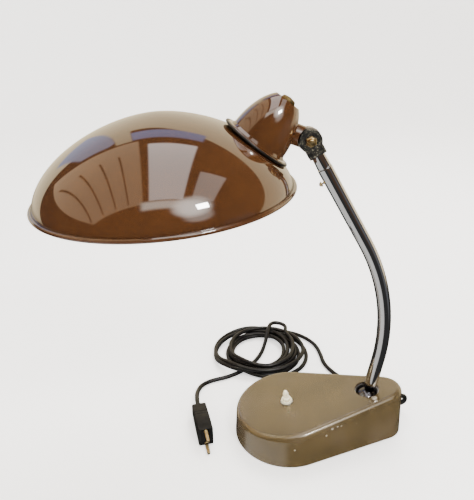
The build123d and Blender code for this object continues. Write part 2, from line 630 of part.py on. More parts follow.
# Lampholder, clamped through the shade and the flange, and the bulb in it
HOLDER_BORE = HOLDER_RADIUS - HOLDER_WALL
ROOF_LOW = HOLDER_TOP - HOLDER_ROOF
PLATE_LOW = ROOF_LOW - CONTACT_PLATE
SHELL_RADIUS = HOLDER_BORE - THREAD_FIT
COLLAR_TOP = FLANGE_TOP + HOLDER_COLLAR_HEIGHT
with BuildPart() as holder_body:
    turn(
        NECK_SECTION,
        (HOLDER_BORE, -HOLDER_MOUTH),
        (HOLDER_RADIUS, -HOLDER_MOUTH),
        (HOLDER_RADIUS, FLANGE_TOP),
        (HOLDER_COLLAR_RADIUS, FLANGE_TOP),
        (HOLDER_COLLAR_RADIUS, COLLAR_TOP),
        (HOLDER_RADIUS, COLLAR_TOP),
        (HOLDER_RADIUS, HOLDER_TOP),
        (NIPPLE_BORE, HOLDER_TOP),
        (NIPPLE_BORE, ROOF_LOW),
        (HOLDER_BORE, ROOF_LOW),
    )

with BuildPart() as shade_ring:
    washer(NECK_SECTION, HOLDER_RADIUS + THREAD_FIT, RING_RADIUS, -SHADE_WALL - RING_HEIGHT, -SHADE_WALL)

with BuildPart() as thread_shell:
    washer(NECK_SECTION, SHELL_RADIUS - SHELL_WALL, SHELL_RADIUS, SHELL_WALL - HOLDER_MOUTH, PLATE_LOW)

with BuildPart() as contact_plate:
    washer(NECK_SECTION, NIPPLE_BORE, SHELL_RADIUS, PLATE_LOW, ROOF_LOW)

CONTACT_LOW = PLATE_LOW - CONTACT_HEIGHT
with BuildPart() as centre_contact:
    turn(
        NECK_SECTION,
        (0, CONTACT_LOW),
        (CONTACT_RADIUS, PLATE_LOW),
        (NIPPLE_BORE, PLATE_LOW),
        (NIPPLE_BORE, ROOF_LOW),
        (0, ROOF_LOW),
    )

with BuildPart() as neck_nipple:
    washer(NECK_SECTION, NIPPLE_BORE, NIPPLE_RADIUS, HOLDER_TOP, NIPPLE_TOP)

BULB_CAP_RADIUS = SHELL_RADIUS - SHELL_WALL - BULB_CAP_CLEARANCE
BULB_CAP_TOP = CONTACT_LOW - BULB_CAP_CLEARANCE
BULB_CAP_LOW = BULB_CAP_TOP - BULB_CAP_LENGTH
with BuildPart() as bulb_cap:
    turn(
        NECK_SECTION,
        (0, BULB_CAP_LOW),
        (BULB_CAP_RADIUS, BULB_CAP_LOW),
        (BULB_CAP_RADIUS, BULB_CAP_TOP - CONTACT_RADIUS),
        (CONTACT_RADIUS, BULB_CAP_TOP),
        (0, BULB_CAP_TOP),
    )


def bulb_form(inset):
    """Solid form of the bulb's glass with its skin moved inwards by inset."""
    neck = BULB_NECK_RADIUS - inset
    ball = BULB_RADIUS - inset
    centre = BULB_CAP_LOW - BULB_LENGTH + BULB_RADIUS
    joint = centre + sqrt(ball ** 2 - neck ** 2)
    top = BULB_CAP_LOW - inset
    with BuildPart() as form:
        with BuildSketch(NECK_SECTION):
            with BuildLine():
                Polyline((0, centre - ball), (0, top), (neck, top), (neck, joint))
                ThreePointArc((neck, joint), (ball, centre), (0, centre - ball))
            make_face()
        revolve(axis=Axis(NECK_SEAT, NECK_DIRECTION))
    return form.part


with BuildPart() as bulb_glass:
    add(bulb_form(0))
    add(bulb_form(BULB_GLASS), mode=Mode.SUBTRACT)

# Push switch in the base's top
COLLAR_LOW = SWITCH_WASHER_HEIGHT
COLLAR_HIGH = SWITCH_WASHER_HEIGHT + SWITCH_COLLAR_HEIGHT
NECK_HIGH = COLLAR_HIGH - SWITCH_COLLAR_EDGE
BODY_LOW = -BASE_WALL - SWITCH_BODY_HEIGHT
PLUNGER_BORE = PLUNGER_RADIUS + PLUNGER_FIT
BORE_LOW = -PLUNGER_DEPTH - PLUNGER_TRAVEL - PLUNGER_FLOOR_GAP
PLUNGER_TOP = COLLAR_HIGH + PLUNGER_STAND
with BuildPart() as switch_body:
    turn(
        SWITCH_SECTION,
        (0, BODY_LOW),
        (SWITCH_BODY_RADIUS, BODY_LOW),
        (SWITCH_BODY_RADIUS, -BASE_WALL),
        (SWITCH_NECK_RADIUS, -BASE_WALL),
        (SWITCH_NECK_RADIUS, NECK_HIGH),
        (PLUNGER_BORE, NECK_HIGH),
        (PLUNGER_BORE, BORE_LOW),
        (0, BORE_LOW),
    )

with BuildPart() as switch_washer:
    washer(SWITCH_SECTION, switch_hole, SWITCH_WASHER_RADIUS, 0, COLLAR_LOW)

with BuildPart() as switch_collar:
    turn(
        SWITCH_SECTION,
        (SWITCH_NECK_RADIUS + THREAD_FIT, COLLAR_LOW),
        (SWITCH_COLLAR_RADIUS, COLLAR_LOW),
        (SWITCH_COLLAR_RADIUS, NECK_HIGH),
        (SWITCH_COLLAR_RADIUS - SWITCH_COLLAR_EDGE, COLLAR_HIGH),
        (PLUNGER_BORE, COLLAR_HIGH),
        (PLUNGER_BORE, NECK_HIGH),
        (SWITCH_NECK_RADIUS + THREAD_FIT, NECK_HIGH),
    )

with BuildPart() as switch_button:
    rod(SWITCH_POINT - switch_up * PLUNGER_DEPTH, SWITCH_POINT + switch_up * PLUNGER_TOP, PLUNGER_RADIUS)
    fillet(switch_button.edges().sort_by(Axis.Z)[-1], PLUNGER_RADIUS / 2)

# Wiring inside the base
LEAD_BORE = CORD_RADIUS + GROMMET_FIT
with BuildPart() as cord_grommet:
    flange_start = GROMMET_OUT - GROMMET_FLANGE_LENGTH
    sleeve_end = EXIT_WALL - EXIT_DIRECTION * (BASE_WALL + GROMMET_INNER_LENGTH)
    rod(sleeve_end, CORD_EXIT, GROMMET_RADIUS)
    rod(EXIT_WALL + EXIT_DIRECTION * flange_start, CORD_EXIT, GROMMET_FLANGE_RADIUS)
    rod(sleeve_end, CORD_EXIT, LEAD_BORE, Mode.SUBTRACT)

RETAINER_SIDE = RETAINER_RADIUS + CORD_RADIUS
WALL_SIDE = BASE_SMALL_REACH + EXIT_WALL_REACH - BASE_WALL - CORD_RADIUS
DROP_X = (RETAINER_SIDE + WALL_SIDE) / 2
DROP_REACH = (EXIT_WALL.X - DROP_X) / EXIT_DIRECTION.X
DROP_HIGH = EXIT_WALL - EXIT_DIRECTION * DROP_REACH
LEAD_LEVEL = PLATE_TOP + INNER_LEAD_HEIGHT
BLOCK_REACH = BASE_BIG_REACH - BALLAST_RADIUS - BLOCK_GAP - BLOCK_LENGTH / 2
DROP_LOW = Vector(DROP_HIGH.X, DROP_HIGH.Y, LEAD_LEVEL)
BLOCK_END = Vector(BLOCK_LENGTH / 2 - BLOCK_REACH, DROP_HIGH.Y, LEAD_LEVEL)
with BuildPart() as inner_lead:
    tube([CORD_EXIT, DROP_HIGH, DROP_LOW, BLOCK_END], INNER_LEAD_BEND, CORD_RADIUS)

BLOCK_TOP = PLATE_TOP + BLOCK_HEIGHT
with BuildPart() as terminal_block:
    with BuildSketch(Plane.XY.offset(PLATE_TOP)):
        with Locations((-BLOCK_REACH, 0)):
            Rectangle(BLOCK_LENGTH, BLOCK_WIDTH)
    extrude(amount=BLOCK_HEIGHT)

CLAMP_TOP = PLATE_TOP + CLAMP_HEIGHT
CLAMP_PLACES = [(CLAMP_REACH, DROP_LOW.Y + side * CLAMP_SCREW_SPACING / 2) for side in (-1, 1)]
with BuildPart() as cord_clamp:
    with BuildSketch(Plane.XY.offset(PLATE_TOP)):
        with Locations((CLAMP_REACH, DROP_LOW.Y)):
            Rectangle(CLAMP_LENGTH, CLAMP_WIDTH)
    extrude(amount=CLAMP_HEIGHT)
    rod(DROP_LOW, BLOCK_END, LEAD_BORE, Mode.SUBTRACT)
    upright(CLAMP_PLACES, CLAMP_SCREW_RADIUS + PILOT_CLEARANCE, PLATE_TOP, CLAMP_TOP, Mode.SUBTRACT)

with BuildPart() as clamp_screws:
    upright(CLAMP_PLACES, CLAMP_SCREW_RADIUS, PLATE_TOP, CLAMP_TOP)
    upright(CLAMP_PLACES, CLAMP_SCREW_HEAD_RADIUS, CLAMP_TOP, CLAMP_TOP + CLAMP_SCREW_HEAD_HEIGHT)

with BuildPart() as switch_leads:
    body_side = sqrt(SWITCH_BODY_RADIUS ** 2 - (SWITCH_LEAD_SPACING / 2 - SWITCH_LEAD_RADIUS) ** 2)
    tag = SWITCH_POINT - switch_up * (BASE_WALL + SWITCH_BODY_HEIGHT / 2) + ALONG_SLOPE * body_side
    elbow = tag + ALONG_SLOPE * ((-BLOCK_REACH - tag.X) / ALONG_SLOPE.X)
    post = Vector(-BLOCK_REACH, 0, BLOCK_TOP)
    for side in (-1, 1):
        shift = Vector(0, side * SWITCH_LEAD_SPACING / 2, 0)
        tube([post + shift, elbow + shift, tag + shift], SWITCH_LEAD_BEND, SWITCH_LEAD_RADIUS)

# Free cord: from the grommet to the coil, the coil's outer shape, and from the coil to the plug
LEAD_ROUTE = [CORD_EXIT, CORD_EXIT + EXIT_DIRECTION * CORD_STRAIGHT] + [
    Vector(*point)
    for point in (
        (58.0, 15.5, 30.0),
        (60.0, 20.0, 21.0),
        (57.0, 25.0, 12.0),
        (50.0, 33.0, 6.0),
        (39.0, 45.0, 3.2),
        (24.0, 60.0, 3.2),
        (7.5, 78.0, 3.2),
        (-8.0, 97.0, 3.2),
        (-21.0, 116.0, 3.2),
        (-32.0, 136.0, 3.2),
        (-40.5, 157.0, 3.2),
    )
]
PLUG_ROUTE = [PLUG_BACK, PLUG_BACK - PLUG_DIRECTION * PLUG_STRAIGHT] + [
    Vector(*point)
    for point in (
        (-219.2, 50.0, 12.0),
        (-219.8, 63.0, 9.4),
        (-219.0, 76.0, 5.8),
        (-215.0, 89.0, 4.0),
        (-206.0, 98.5, 3.2),
        (-193.0, 104.0, 3.2),
        (-180.0, 107.5, 3.2),
        (-168.0, 113.0, 3.2),
    )
]
with BuildPart() as cord_lead:
    lead_length = tube(LEAD_ROUTE, bend_radii(LEAD_ROUTE), CORD_RADIUS)

with BuildPart() as plug_lead:
    plug_lead_length = tube(PLUG_ROUTE, bend_radii(PLUG_ROUTE), CORD_RADIUS)

with BuildPart() as cord_coil:
    with BuildSketch():
        with Locations(COIL_LEFT):
            Circle(COIL_LEFT_RADIUS)
        with Locations(COIL_RIGHT):
            Circle(COIL_RIGHT_RADIUS)
        make_hull()
        with Locations(COIL_EYE):
            Circle(COIL_EYE_RADIUS, mode=Mode.SUBTRACT)
    extrude(amount=COIL_HEIGHT)
    fillet(cord_coil.faces().sort_by(Axis.Z)[-1].edges(), COIL_EDGE_RADIUS)

# Plug, lying on its narrow side
PLUG_SIDE = PLUG_DIRECTION.cross(Vector(0, 0, -1))
PLUG_SECTION = Plane(origin=PLUG_FACE, x_dir=PLUG_DIRECTION * -1, z_dir=PLUG_SIDE)
PIN_PLACES = [PLUG_FACE + Vector(0, 0, side * PIN_SPACING / 2) for side in (-1, 1)]
with BuildPart() as plug_body:
    with BuildSketch(PLUG_SECTION):
        Polygon(
            (0, -PLUG_HEIGHT / 2),
            (PLUG_LENGTH / 2, -PLUG_HEIGHT / 2),
            (PLUG_LENGTH, -PLUG_BACK_HEIGHT / 2),
            (PLUG_LENGTH, PLUG_BACK_HEIGHT / 2),
            (PLUG_LENGTH / 2, PLUG_HEIGHT / 2),
            (0, PLUG_HEIGHT / 2),
            align=None,
        )
    extrude(amount=PLUG_THICKNESS / 2, both=True)
    broad_sides = plug_body.faces().sort_by(Axis(PLUG_FACE, PLUG_SIDE))
    fillet(broad_sides[0].edges() + broad_sides[-1].edges(), PLUG_EDGE_RADIUS)
    for place in PIN_PLACES:
        rod(place - PLUG_DIRECTION * PIN_DEPTH, place, PIN_RADIUS + PILOT_CLEARANCE, Mode.SUBTRACT)

with BuildPart() as plug_pins:
    for place in PIN_PLACES:
        rod(place - PLUG_DIRECTION * PIN_DEPTH, place + PLUG_DIRECTION * PIN_LENGTH, PIN_RADIUS)
    fillet(plug_pins.edges().group_by(Axis(PLUG_FACE, PLUG_DIRECTION))[-1], PIN_RADIUS / 2)

PIECES = {
    "base_housing": base_housing,
    "base_plate": base_plate,
    "felt_pad": felt_pad,
    "base_screws": base_screws,
    "ballast_weight": ballast_weight,
    "ballast_screws": ballast_screws,
    "ball_seat": ball_seat,
    "spring_retainer": spring_retainer,
    "retainer_screws": retainer_screws,
    "pressure_cup": pressure_cup,
    "disc_spring": disc_spring,
    "arm_ball": arm_ball,
    "arm_tube": arm_tube,
    "arm_lead": arm_lead,
    "stub_bush": stub_bush,
    "thumbscrew": thumbscrew,
    "swivel_stub": swivel_stub,
    "knuckle_lug": knuckle_lug,
    "friction_washer": friction_washer,
    "pivot_bolt": pivot_bolt,
    "pivot_nut": pivot_nut,
    "neck_knuckle": neck_knuckle,
    "neck_cap": neck_cap,
    "neck_flange": neck_flange,
    "neck_gasket": neck_gasket,
    "cap_nut": cap_nut,
    "shade": shade,
    "holder_body": holder_body,
    "shade_ring": shade_ring,
    "thread_shell": thread_shell,
    "contact_plate": contact_plate,
    "centre_contact": centre_contact,
    "neck_nipple": neck_nipple,
    "bulb_cap": bulb_cap,
    "bulb_glass": bulb_glass,
    "switch_body": switch_body,
    "switch_washer": switch_washer,
    "switch_collar": switch_collar,
    "switch_button": switch_button,
    "cord_grommet": cord_grommet,
    "inner_lead": inner_lead,
    "terminal_block": terminal_block,
    "cord_clamp": cord_clamp,
    "clamp_screws": clamp_screws,
    "switch_leads": switch_leads,
    "cord_lead": cord_lead,
    "plug_lead": plug_lead,
    "cord_coil": cord_coil,
    "plug_body": plug_body,
    "plug_pins": plug_pins,
}
os.makedirs("parts", exist_ok=True)
for name, piece in PIECES.items():
    piece.part.label = name
    export_step(piece.part, f"parts/{name}.step")

for route_name, route, length, piece in (
    ("cord lead", LEAD_ROUTE, lead_length, cord_lead),
    ("plug lead", PLUG_ROUTE, plug_lead_length, plug_lead),
):
    print(route_name, "bend radii", [round(radius, 1) for radius in bend_radii(route)])
    swept_volume = pi * CORD_RADIUS**2 * length
    print(route_name, "volume over section times length", round(piece.part.volume / swept_volume, 4))
for place_name, place in {
    "ball centre": BALL_CENTRE,
    "pivot": PIVOT,
    "tip direction": TIP_DIRECTION,
    "neck seat": NECK_SEAT,
    "shade centre": SHADE_CENTRE,
    "switch point": SWITCH_POINT,
    "switch direction": switch_up,
    "cord exit": CORD_EXIT,
    "plug back": PLUG_BACK,
}.items():
    print(place_name, [round(value, 4) for value in place])
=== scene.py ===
import json
from math import cos, pi, radians, sin, sqrt, tan

import bmesh
import bpy
from mathutils import Matrix, Vector


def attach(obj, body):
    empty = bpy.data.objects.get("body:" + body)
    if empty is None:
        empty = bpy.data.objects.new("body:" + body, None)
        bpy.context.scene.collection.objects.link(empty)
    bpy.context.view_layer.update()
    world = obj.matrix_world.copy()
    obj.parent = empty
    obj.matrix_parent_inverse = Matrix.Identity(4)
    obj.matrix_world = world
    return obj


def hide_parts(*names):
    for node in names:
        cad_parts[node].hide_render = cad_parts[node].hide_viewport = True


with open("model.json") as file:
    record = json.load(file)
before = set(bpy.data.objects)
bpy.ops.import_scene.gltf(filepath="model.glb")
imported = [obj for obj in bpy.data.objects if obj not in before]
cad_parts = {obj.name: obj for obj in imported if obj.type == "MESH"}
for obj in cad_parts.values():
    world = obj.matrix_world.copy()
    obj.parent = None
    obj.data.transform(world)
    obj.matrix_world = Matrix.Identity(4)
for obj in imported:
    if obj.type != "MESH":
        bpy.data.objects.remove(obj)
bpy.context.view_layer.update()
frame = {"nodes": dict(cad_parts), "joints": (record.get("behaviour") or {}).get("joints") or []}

NODES = frame["nodes"]
JOINTS = {joint["name"]: joint for joint in frame["joints"]}
MM = 0.001
UP = Vector((0, 0, 1))
SAME_PLACE = 1e-7
NEARLY_PARALLEL = 0.1

# Camera, fitted to the photograph: focal length and picture height in pixels, place in metres
IMAGE_HEIGHT = 500
FOCAL_PIXELS = 519.34
CAMERA_PLACE = Vector((-0.18242, -0.52774, 0.48789))
CAMERA_YAW = radians(2.18)
CAMERA_PITCH = radians(-23.57)
CAMERA_ROLL = radians(-0.97)
CLIP_START = 0.01

# Cord: its thickness in metres, and the points of its route in millimetres
CORD_DIAMETER = 6.2 * MM
CORD_EXIT = (46.66, 9.92, 36.0)
LEAD_POINTS = [
    (52.77, 12.14, 36.0),
    (58.0, 15.5, 30.0),
    (60.0, 20.0, 21.0),
    (57.0, 25.0, 12.0),
    (50.0, 33.0, 6.0),
    (39.0, 45.0, 3.2),
    (24.0, 60.0, 3.2),
    (7.5, 78.0, 3.2),
    (-8.5, 97.0, 3.2),
    (-20.0, 116.0, 3.2),
    (-26.5, 136.0, 3.2),
]
# Loops of the coil: middle x and y, half width, half depth and height above the floor.
COIL_LOOPS = [
    (-98.0, 167.0, 73.0, 68.0, 3.2),
    (-112.0, 166.0, 65.0, 63.0, 3.2),
    (-116.0, 168.0, 57.0, 58.0, 3.2),
    (-115.0, 166.0, 49.0, 50.0, 3.6),
    (-126.0, 170.0, 43.0, 44.0, 8.4),
    (-118.0, 167.0, 54.0, 53.0, 9.4),
    (-145.0, 172.0, 69.0, 63.0, 10.5),
    (-114.0, 166.0, 62.0, 61.0, 13.4),
    (-117.0, 170.0, 48.0, 52.0, 15.4),
    (-99.0, 168.0, 70.0, 65.0, 15.6),
]
# Height of a strand that lies on the floor, steps in a turn, and where and how often the coil turns.
FLOOR_LEVEL = 3.2
COIL_STEPS = 14
COIL_START = radians(-9)
COIL_TURNS = 8.15
# Where strands lie on others, and where the turns pass over the strand to the plug.
COIL_HEAP = (-116.0, 166.0)
HEAP_RADIUS = 70.0
HEAP_FADE = 14.0
UNDERPASS = radians(-128)
UNDERPASS_WIDTH = radians(22)
CROSSING_POINTS = [
    (-73.0, 227.0, 15.6),
    (-86.0, 235.0, 17.0),
    (-97.0, 231.0, 19.0),
    (-103.0, 219.0, 19.0),
    (-107.0, 203.0, 16.0),
    (-112.0, 186.0, 9.0),
    (-119.0, 167.0, 4.4),
    (-129.0, 149.0, 3.2),
    (-142.0, 132.0, 3.2),
    (-156.0, 120.0, 3.2),
    (-168.0, 113.0, 3.2),
]
PLUG_POINTS = [
    (-180.0, 107.5, 3.2),
    (-193.0, 104.0, 3.2),
    (-206.0, 98.5, 3.2),
    (-215.0, 89.0, 4.0),
    (-219.0, 76.0, 5.8),
    (-219.8, 63.0, 9.4),
    (-219.2, 50.0, 12.0),
    (-217.51, 37.92, 13.0),
    (-215.28, 26.13, 13.0),
]

# Neck and shade, as the frame has them
NECK_SEAT = Vector((-141.17, 0, 375.25)) * MM
NECK_LEAN = radians(37.5)
NECK_AXIS = Vector((sin(NECK_LEAN), 0, cos(NECK_LEAN)))
SHADE_CENTRE = Vector((-236.7, 0, 327.49)) * MM
SHADE_TILT = radians(3.0)
SHADE_AXIS = Vector((-sin(SHADE_TILT), 0, cos(SHADE_TILT)))
SHADE_RADIUS = 135.6 * MM
SHADE_DEPTH = 81.5 * MM
SHADE_WALL = 1.0 * MM
SHADE_FULLNESS = 1.71
BEAD_RADIUS = 2.2 * MM
DOME_RADIUS = SHADE_RADIUS - BEAD_RADIUS + SHADE_WALL / 2
SEAT_SOFTNESS = 2.5 * MM
OUTSIDE_FOOT = 0.8 * BEAD_RADIUS
INSIDE_FOOT = 0.4 * BEAD_RADIUS
BEAD_TURNS = range(140, -181, -10)
BEAD_INSIDE_STEPS = 3
SHADE_STEPS = 240

# Knuckle, switch and plug, as the frame has them
PIVOT = Vector(JOINTS["head_tilt"]["pos_m"])
TIP_AXIS = Vector(JOINTS["head_swivel"]["axis"])
TOWARDS_VIEW = Vector((0, -1, 0))
SWITCH_AXIS = -Vector(JOINTS["switch_press"]["axis"])
SWITCH_POINT = Vector((-102.0, 0, 44.165)) * MM
PLUG_TURN = radians(10.7)
PLUG_AXIS = Vector((sin(PLUG_TURN), -cos(PLUG_TURN), 0))
PLUG_FACE = Vector((-206.0, -23.0, 13.0)) * MM
PIN_SPACING = 19.0 * MM
THUMBSCREW_BACK = 48.7 * MM


def place_camera():
    """Camera at the photo's place and angle."""
    level_forward = Vector((sin(CAMERA_YAW), cos(CAMERA_YAW), 0))
    forward = level_forward * cos(CAMERA_PITCH) + UP * sin(CAMERA_PITCH)
    level_right = Vector((cos(CAMERA_YAW), -sin(CAMERA_YAW), 0))
    level_up = level_right.cross(forward)
    right = level_right * cos(CAMERA_ROLL) + level_up * sin(CAMERA_ROLL)
    up = level_up * cos(CAMERA_ROLL) - level_right * sin(CAMERA_ROLL)
    data = bpy.data.cameras.new("camera")
    data.sensor_fit = "VERTICAL"
    data.lens = FOCAL_PIXELS / IMAGE_HEIGHT * data.sensor_height
    data.clip_start = CLIP_START
    camera = bpy.data.objects.new("camera", data)
    bpy.context.scene.collection.objects.link(camera)
    turn = Matrix((right, up, -forward)).transposed()
    camera.matrix_world = Matrix.Translation(CAMERA_PLACE) @ turn.to_4x4()
    bpy.context.scene.camera = camera


def coil_points():
    """Loose turns that grow and shift from one loop to the next, and sag to the floor outside the heap."""
    points = []
    for step in range(int(COIL_TURNS * COIL_STEPS) + 1):
        turn, part = divmod(step, COIL_STEPS)
        share = part / COIL_STEPS
        loop = [a + (b - a) * share for a, b in zip(COIL_LOOPS[turn], COIL_LOOPS[turn + 1])]
        middle_x, middle_y, half_width, half_depth, height = loop
        angle = COIL_START + 2 * pi * share
        x = middle_x + half_width * cos(angle)
        y = middle_y + half_depth * sin(angle)
        reach = sqrt((x - COIL_HEAP[0]) ** 2 + (y - COIL_HEAP[1]) ** 2)
        held = min(1, max(0, (HEAP_RADIUS + HEAP_FADE - reach) / HEAP_FADE))
        off = (angle - UNDERPASS + pi) % (2 * pi) - pi
        hump = CORD_DIAMETER / MM * max(0, cos(min(pi / 2, abs(off) / UNDERPASS_WIDTH * pi / 2)))
        points.append((x, y, FLOOR_LEVEL + (height - FLOOR_LEVEL) * held + hump))
    return points


def rounded(corners, steps=5):
    """Closed outline of (radius, height, rounding) corners in millimetres, with its corners rounded off."""
    outline = []
    count = len(corners)
    for index, (x, y, rounding) in enumerate(corners):
        corner = Vector((x, y))
        before = Vector(corners[index - 1][:2]) - corner
        after = Vector(corners[(index + 1) % count][:2]) - corner
        if rounding == 0:
            outline.append(corner * MM)
            continue
        half = before.angle(after) / 2
        reach = rounding / tan(half)
        middle = corner + (before.normalized() + after.normalized()).normalized() * (rounding / sin(half))
        start = corner + before.normalized() * reach - middle
        end = corner + after.normalized() * reach - middle
        for step in range(steps + 1):
            share = step / steps
            outline.append((middle + start.slerp(end, share)) * MM)
    return outline


def frame_of(axis):
    """Two directions square to an axis and to each other."""
    side = axis.cross(Vector((0, 1, 0)))
    if side.length < NEARLY_PARALLEL:
        side = axis.cross(Vector((1, 0, 0)))
    side.normalize()
    return side, axis.cross(side)


def piece_from(name, bm, finishes, body, smooth_angle=40):
    """Object from a mesh in the making, smooth except at its sharp edges, riding on a body."""
    bmesh.ops.remove_doubles(bm, verts=bm.verts, dist=SAME_PLACE)
    bmesh.ops.recalc_face_normals(bm, faces=bm.faces)
    for face in bm.faces:
        face.smooth = True
    for edge in bm.edges:
        edge.smooth = len(edge.link_faces) == 2 and edge.calc_face_angle() < radians(smooth_angle)
    mesh = bpy.data.meshes.new(name)
    bm.to_mesh(mesh)
    bm.free()
    for finish in finishes:
        mesh.materials.append(finish)
    piece = bpy.data.objects.new(name, mesh)
    bpy.context.scene.collection.objects.link(piece)
    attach(piece, body)
    return piece


def turned(bm, outline, origin, axis, steps=96, slots=None, closed=True):
    """Turn an outline of (radius, height) points about an axis."""
    side, other = frame_of(axis)
    rings = []
    for radius, height in outline:
        middle = origin + axis * height
        if radius < SAME_PLACE:
            rings.append([bm.verts.new(middle)])
            continue
        turns = [2 * pi * step / steps for step in range(steps)]
        rings.append([bm.verts.new(middle + (side * cos(at) + other * sin(at)) * radius) for at in turns])
    for index, ring in enumerate(rings if closed else rings[:-1]):
        following = rings[(index + 1) % len(rings)]
        slot = slots[index] if slots else 0
        if len(ring) == 1 and len(following) == 1:
            continue
        for step in range(steps):
            a = ring[step % len(ring)]
            b = ring[(step + 1) % len(ring)]
            c = following[(step + 1) % len(following)]
            d = following[step % len(following)]
            face = bm.faces.new(list(dict.fromkeys((a, b, c, d))))
            face.material_index = slot
    return rings


def trim(name, corners, origin, axis, finish, body, slot, replaced=None, steps=96, arc=5):
    """Turned piece with rounded corners, in place of a CAD node where one is named."""
    bm = bmesh.new()
    turned(bm, rounded(corners, arc), origin, axis, steps)
    piece = piece_from(name, bm, [finish], body)
    if replaced:
        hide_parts(replaced)


def srgb(red, green, blue):
    """Shader colour from screen values of 0 to 255."""
    def straight(value):
        value /= 255
        return value / 12.92 if value < 0.04045 else ((value + 0.055) / 1.055) ** 2.4
    return (straight(red), straight(green), straight(blue), 1)


# Rays that the rounding of edges takes, and the sockets of a colour mix: share, two colours and result.
BEVEL_SAMPLES = 8
MIX_SHARE, MIX_FIRST, MIX_SECOND, MIX_RESULT = 0, 6, 7, 2


class Finish:
    """Procedural material in the making. Its textures lie in the part's own metres."""

    def __init__(self, name, colour, roughness, **sockets):
        self.material = bpy.data.materials.new(name)
        self.material.use_nodes = True
        self.tree = self.material.node_tree
        self.shader = self.tree.nodes["Principled BSDF"]
        self.put("Base Color", colour)
        self.put("Roughness", roughness)
        for socket, value in sockets.items():
            self.put(socket.replace("_", " ").title().replace("Ior", "IOR"), value)
        self.place = self.node("TexCoord").outputs["Object"]

    def node(self, kind):
        return self.tree.nodes.new("ShaderNode" + kind)

    def join(self, value, socket):
        """Link an output to a socket, or set the socket."""
        if isinstance(value, bpy.types.NodeSocket):
            self.tree.links.new(value, socket)
        else:
            socket.default_value = value

    def put(self, socket, value):
        self.join(value, self.shader.inputs[socket])

    def stretched(self, stretch):
        mapping = self.node("Mapping")
        self.join(self.place, mapping.inputs["Vector"])
        mapping.inputs["Scale"].default_value = stretch
        return mapping.outputs["Vector"]

    def noise(self, scale, detail=4.0, rough=0.55, stretch=None):
        """Soft noise of about 1 / scale metres, pulled along an axis by stretch."""
        texture = self.node("TexNoise")
        self.join(self.stretched(stretch) if stretch else self.place, texture.inputs["Vector"])
        texture.inputs["Scale"].default_value = scale
        texture.inputs["Detail"].default_value = detail
        texture.inputs["Roughness"].default_value = rough
        return texture.outputs[0]

    def dots(self, scale, size):
        """Scattered round dots: 1 inside, 0 outside."""
        texture = self.node("TexVoronoi")
        self.join(self.place, texture.inputs["Vector"])
        texture.inputs["Scale"].default_value = scale
        return self.span(texture.outputs["Distance"], size, size * 0.6)

    def span(self, value, low, high, to_low=0.0, to_high=1.0):
        """Stretch low to high over another range, and clamp it."""
        node = self.node("MapRange")
        self.join(value, node.inputs["Value"])
        ends = {"From Min": low, "From Max": high, "To Min": to_low, "To Max": to_high}
        for socket, number in ends.items():
            node.inputs[socket].default_value = number
        return node.outputs["Result"]

    def maths(self, operation, a, b):
        node = self.node("Math")
        node.operation = operation
        self.join(a, node.inputs[0])
        self.join(b, node.inputs[1])
        return node.outputs[0]

    def both(self, a, b):
        return self.maths("MULTIPLY", a, b)

    def either(self, a, b):
        return self.maths("MAXIMUM", a, b)

    def mix(self, share, a, b):
        """Colour a where share is 0, colour b where it is 1."""
        node = self.node("Mix")
        node.data_type = "RGBA"
        self.join(share, node.inputs[MIX_SHARE])
        self.join(a, node.inputs[MIX_FIRST])
        self.join(b, node.inputs[MIX_SECOND])
        return node.outputs[MIX_RESULT]

    def near(self, point, radius, fade):
        """1 near a point of the part, 0 away from it."""
        node = self.node("VectorMath")
        node.operation = "DISTANCE"
        self.join(self.place, node.inputs[0])
        node.inputs[1].default_value = point
        return self.span(node.outputs["Value"], radius + fade, radius)

    def bump(self, height, strength, depth, edge=0.0):
        """Fine relief, with edges rounded off by edge metres."""
        node = self.node("Bump")
        self.join(height, node.inputs["Height"])
        node.inputs["Strength"].default_value = strength
        node.inputs["Distance"].default_value = depth
        if edge > 0:
            bevel = self.node("Bevel")
            bevel.samples = BEVEL_SAMPLES
            bevel.inputs["Radius"].default_value = edge
            self.join(bevel.outputs[0], node.inputs["Normal"])
        self.put("Normal", node.outputs["Normal"])


def lacquer(name, dark, light, speck, roughness, coat, relief, edge=0.0):
    """Stoved lacquer: cloudy colour, a few dust specks, smudged gloss and a fine orange peel.

    coat is the clear coat's weight, roughness and IOR.
    """
    finish = Finish(name, light, roughness[0])
    for socket, value in zip(("Coat Weight", "Coat Roughness", "Coat IOR"), coat):
        finish.put(socket, value)
    colour = finish.mix(finish.span(finish.noise(22), 0.35, 0.68), dark, light)
    grain = finish.span(finish.noise(320, detail=2), 0.45, 0.75, 0, 0.015)
    colour = finish.mix(grain, colour, speck)
    dust = finish.both(finish.dots(110, 0.05), finish.span(finish.noise(30), 0.6, 0.64))
    colour = finish.mix(finish.both(dust, 0.3), colour, speck)
    finish.put("Base Color", colour)
    finish.put("Roughness", finish.span(finish.noise(30, detail=3), 0.35, 0.7, *roughness))
    finish.bump(finish.noise(120, detail=1), relief, 0.1 * MM, edge)
    return finish, colour


def shade_lacquer():
    """Glossy brown lacquer of the shade and its neck."""
    tones = (srgb(52, 31, 16), srgb(61, 37, 18), srgb(120, 94, 66))
    gloss = {"roughness": (0.05, 0.07), "coat": (1.0, 0.025, 1.7), "relief": 0.006}
    finish, _ = lacquer("shade_lacquer", *tones, **gloss)
    return finish.material


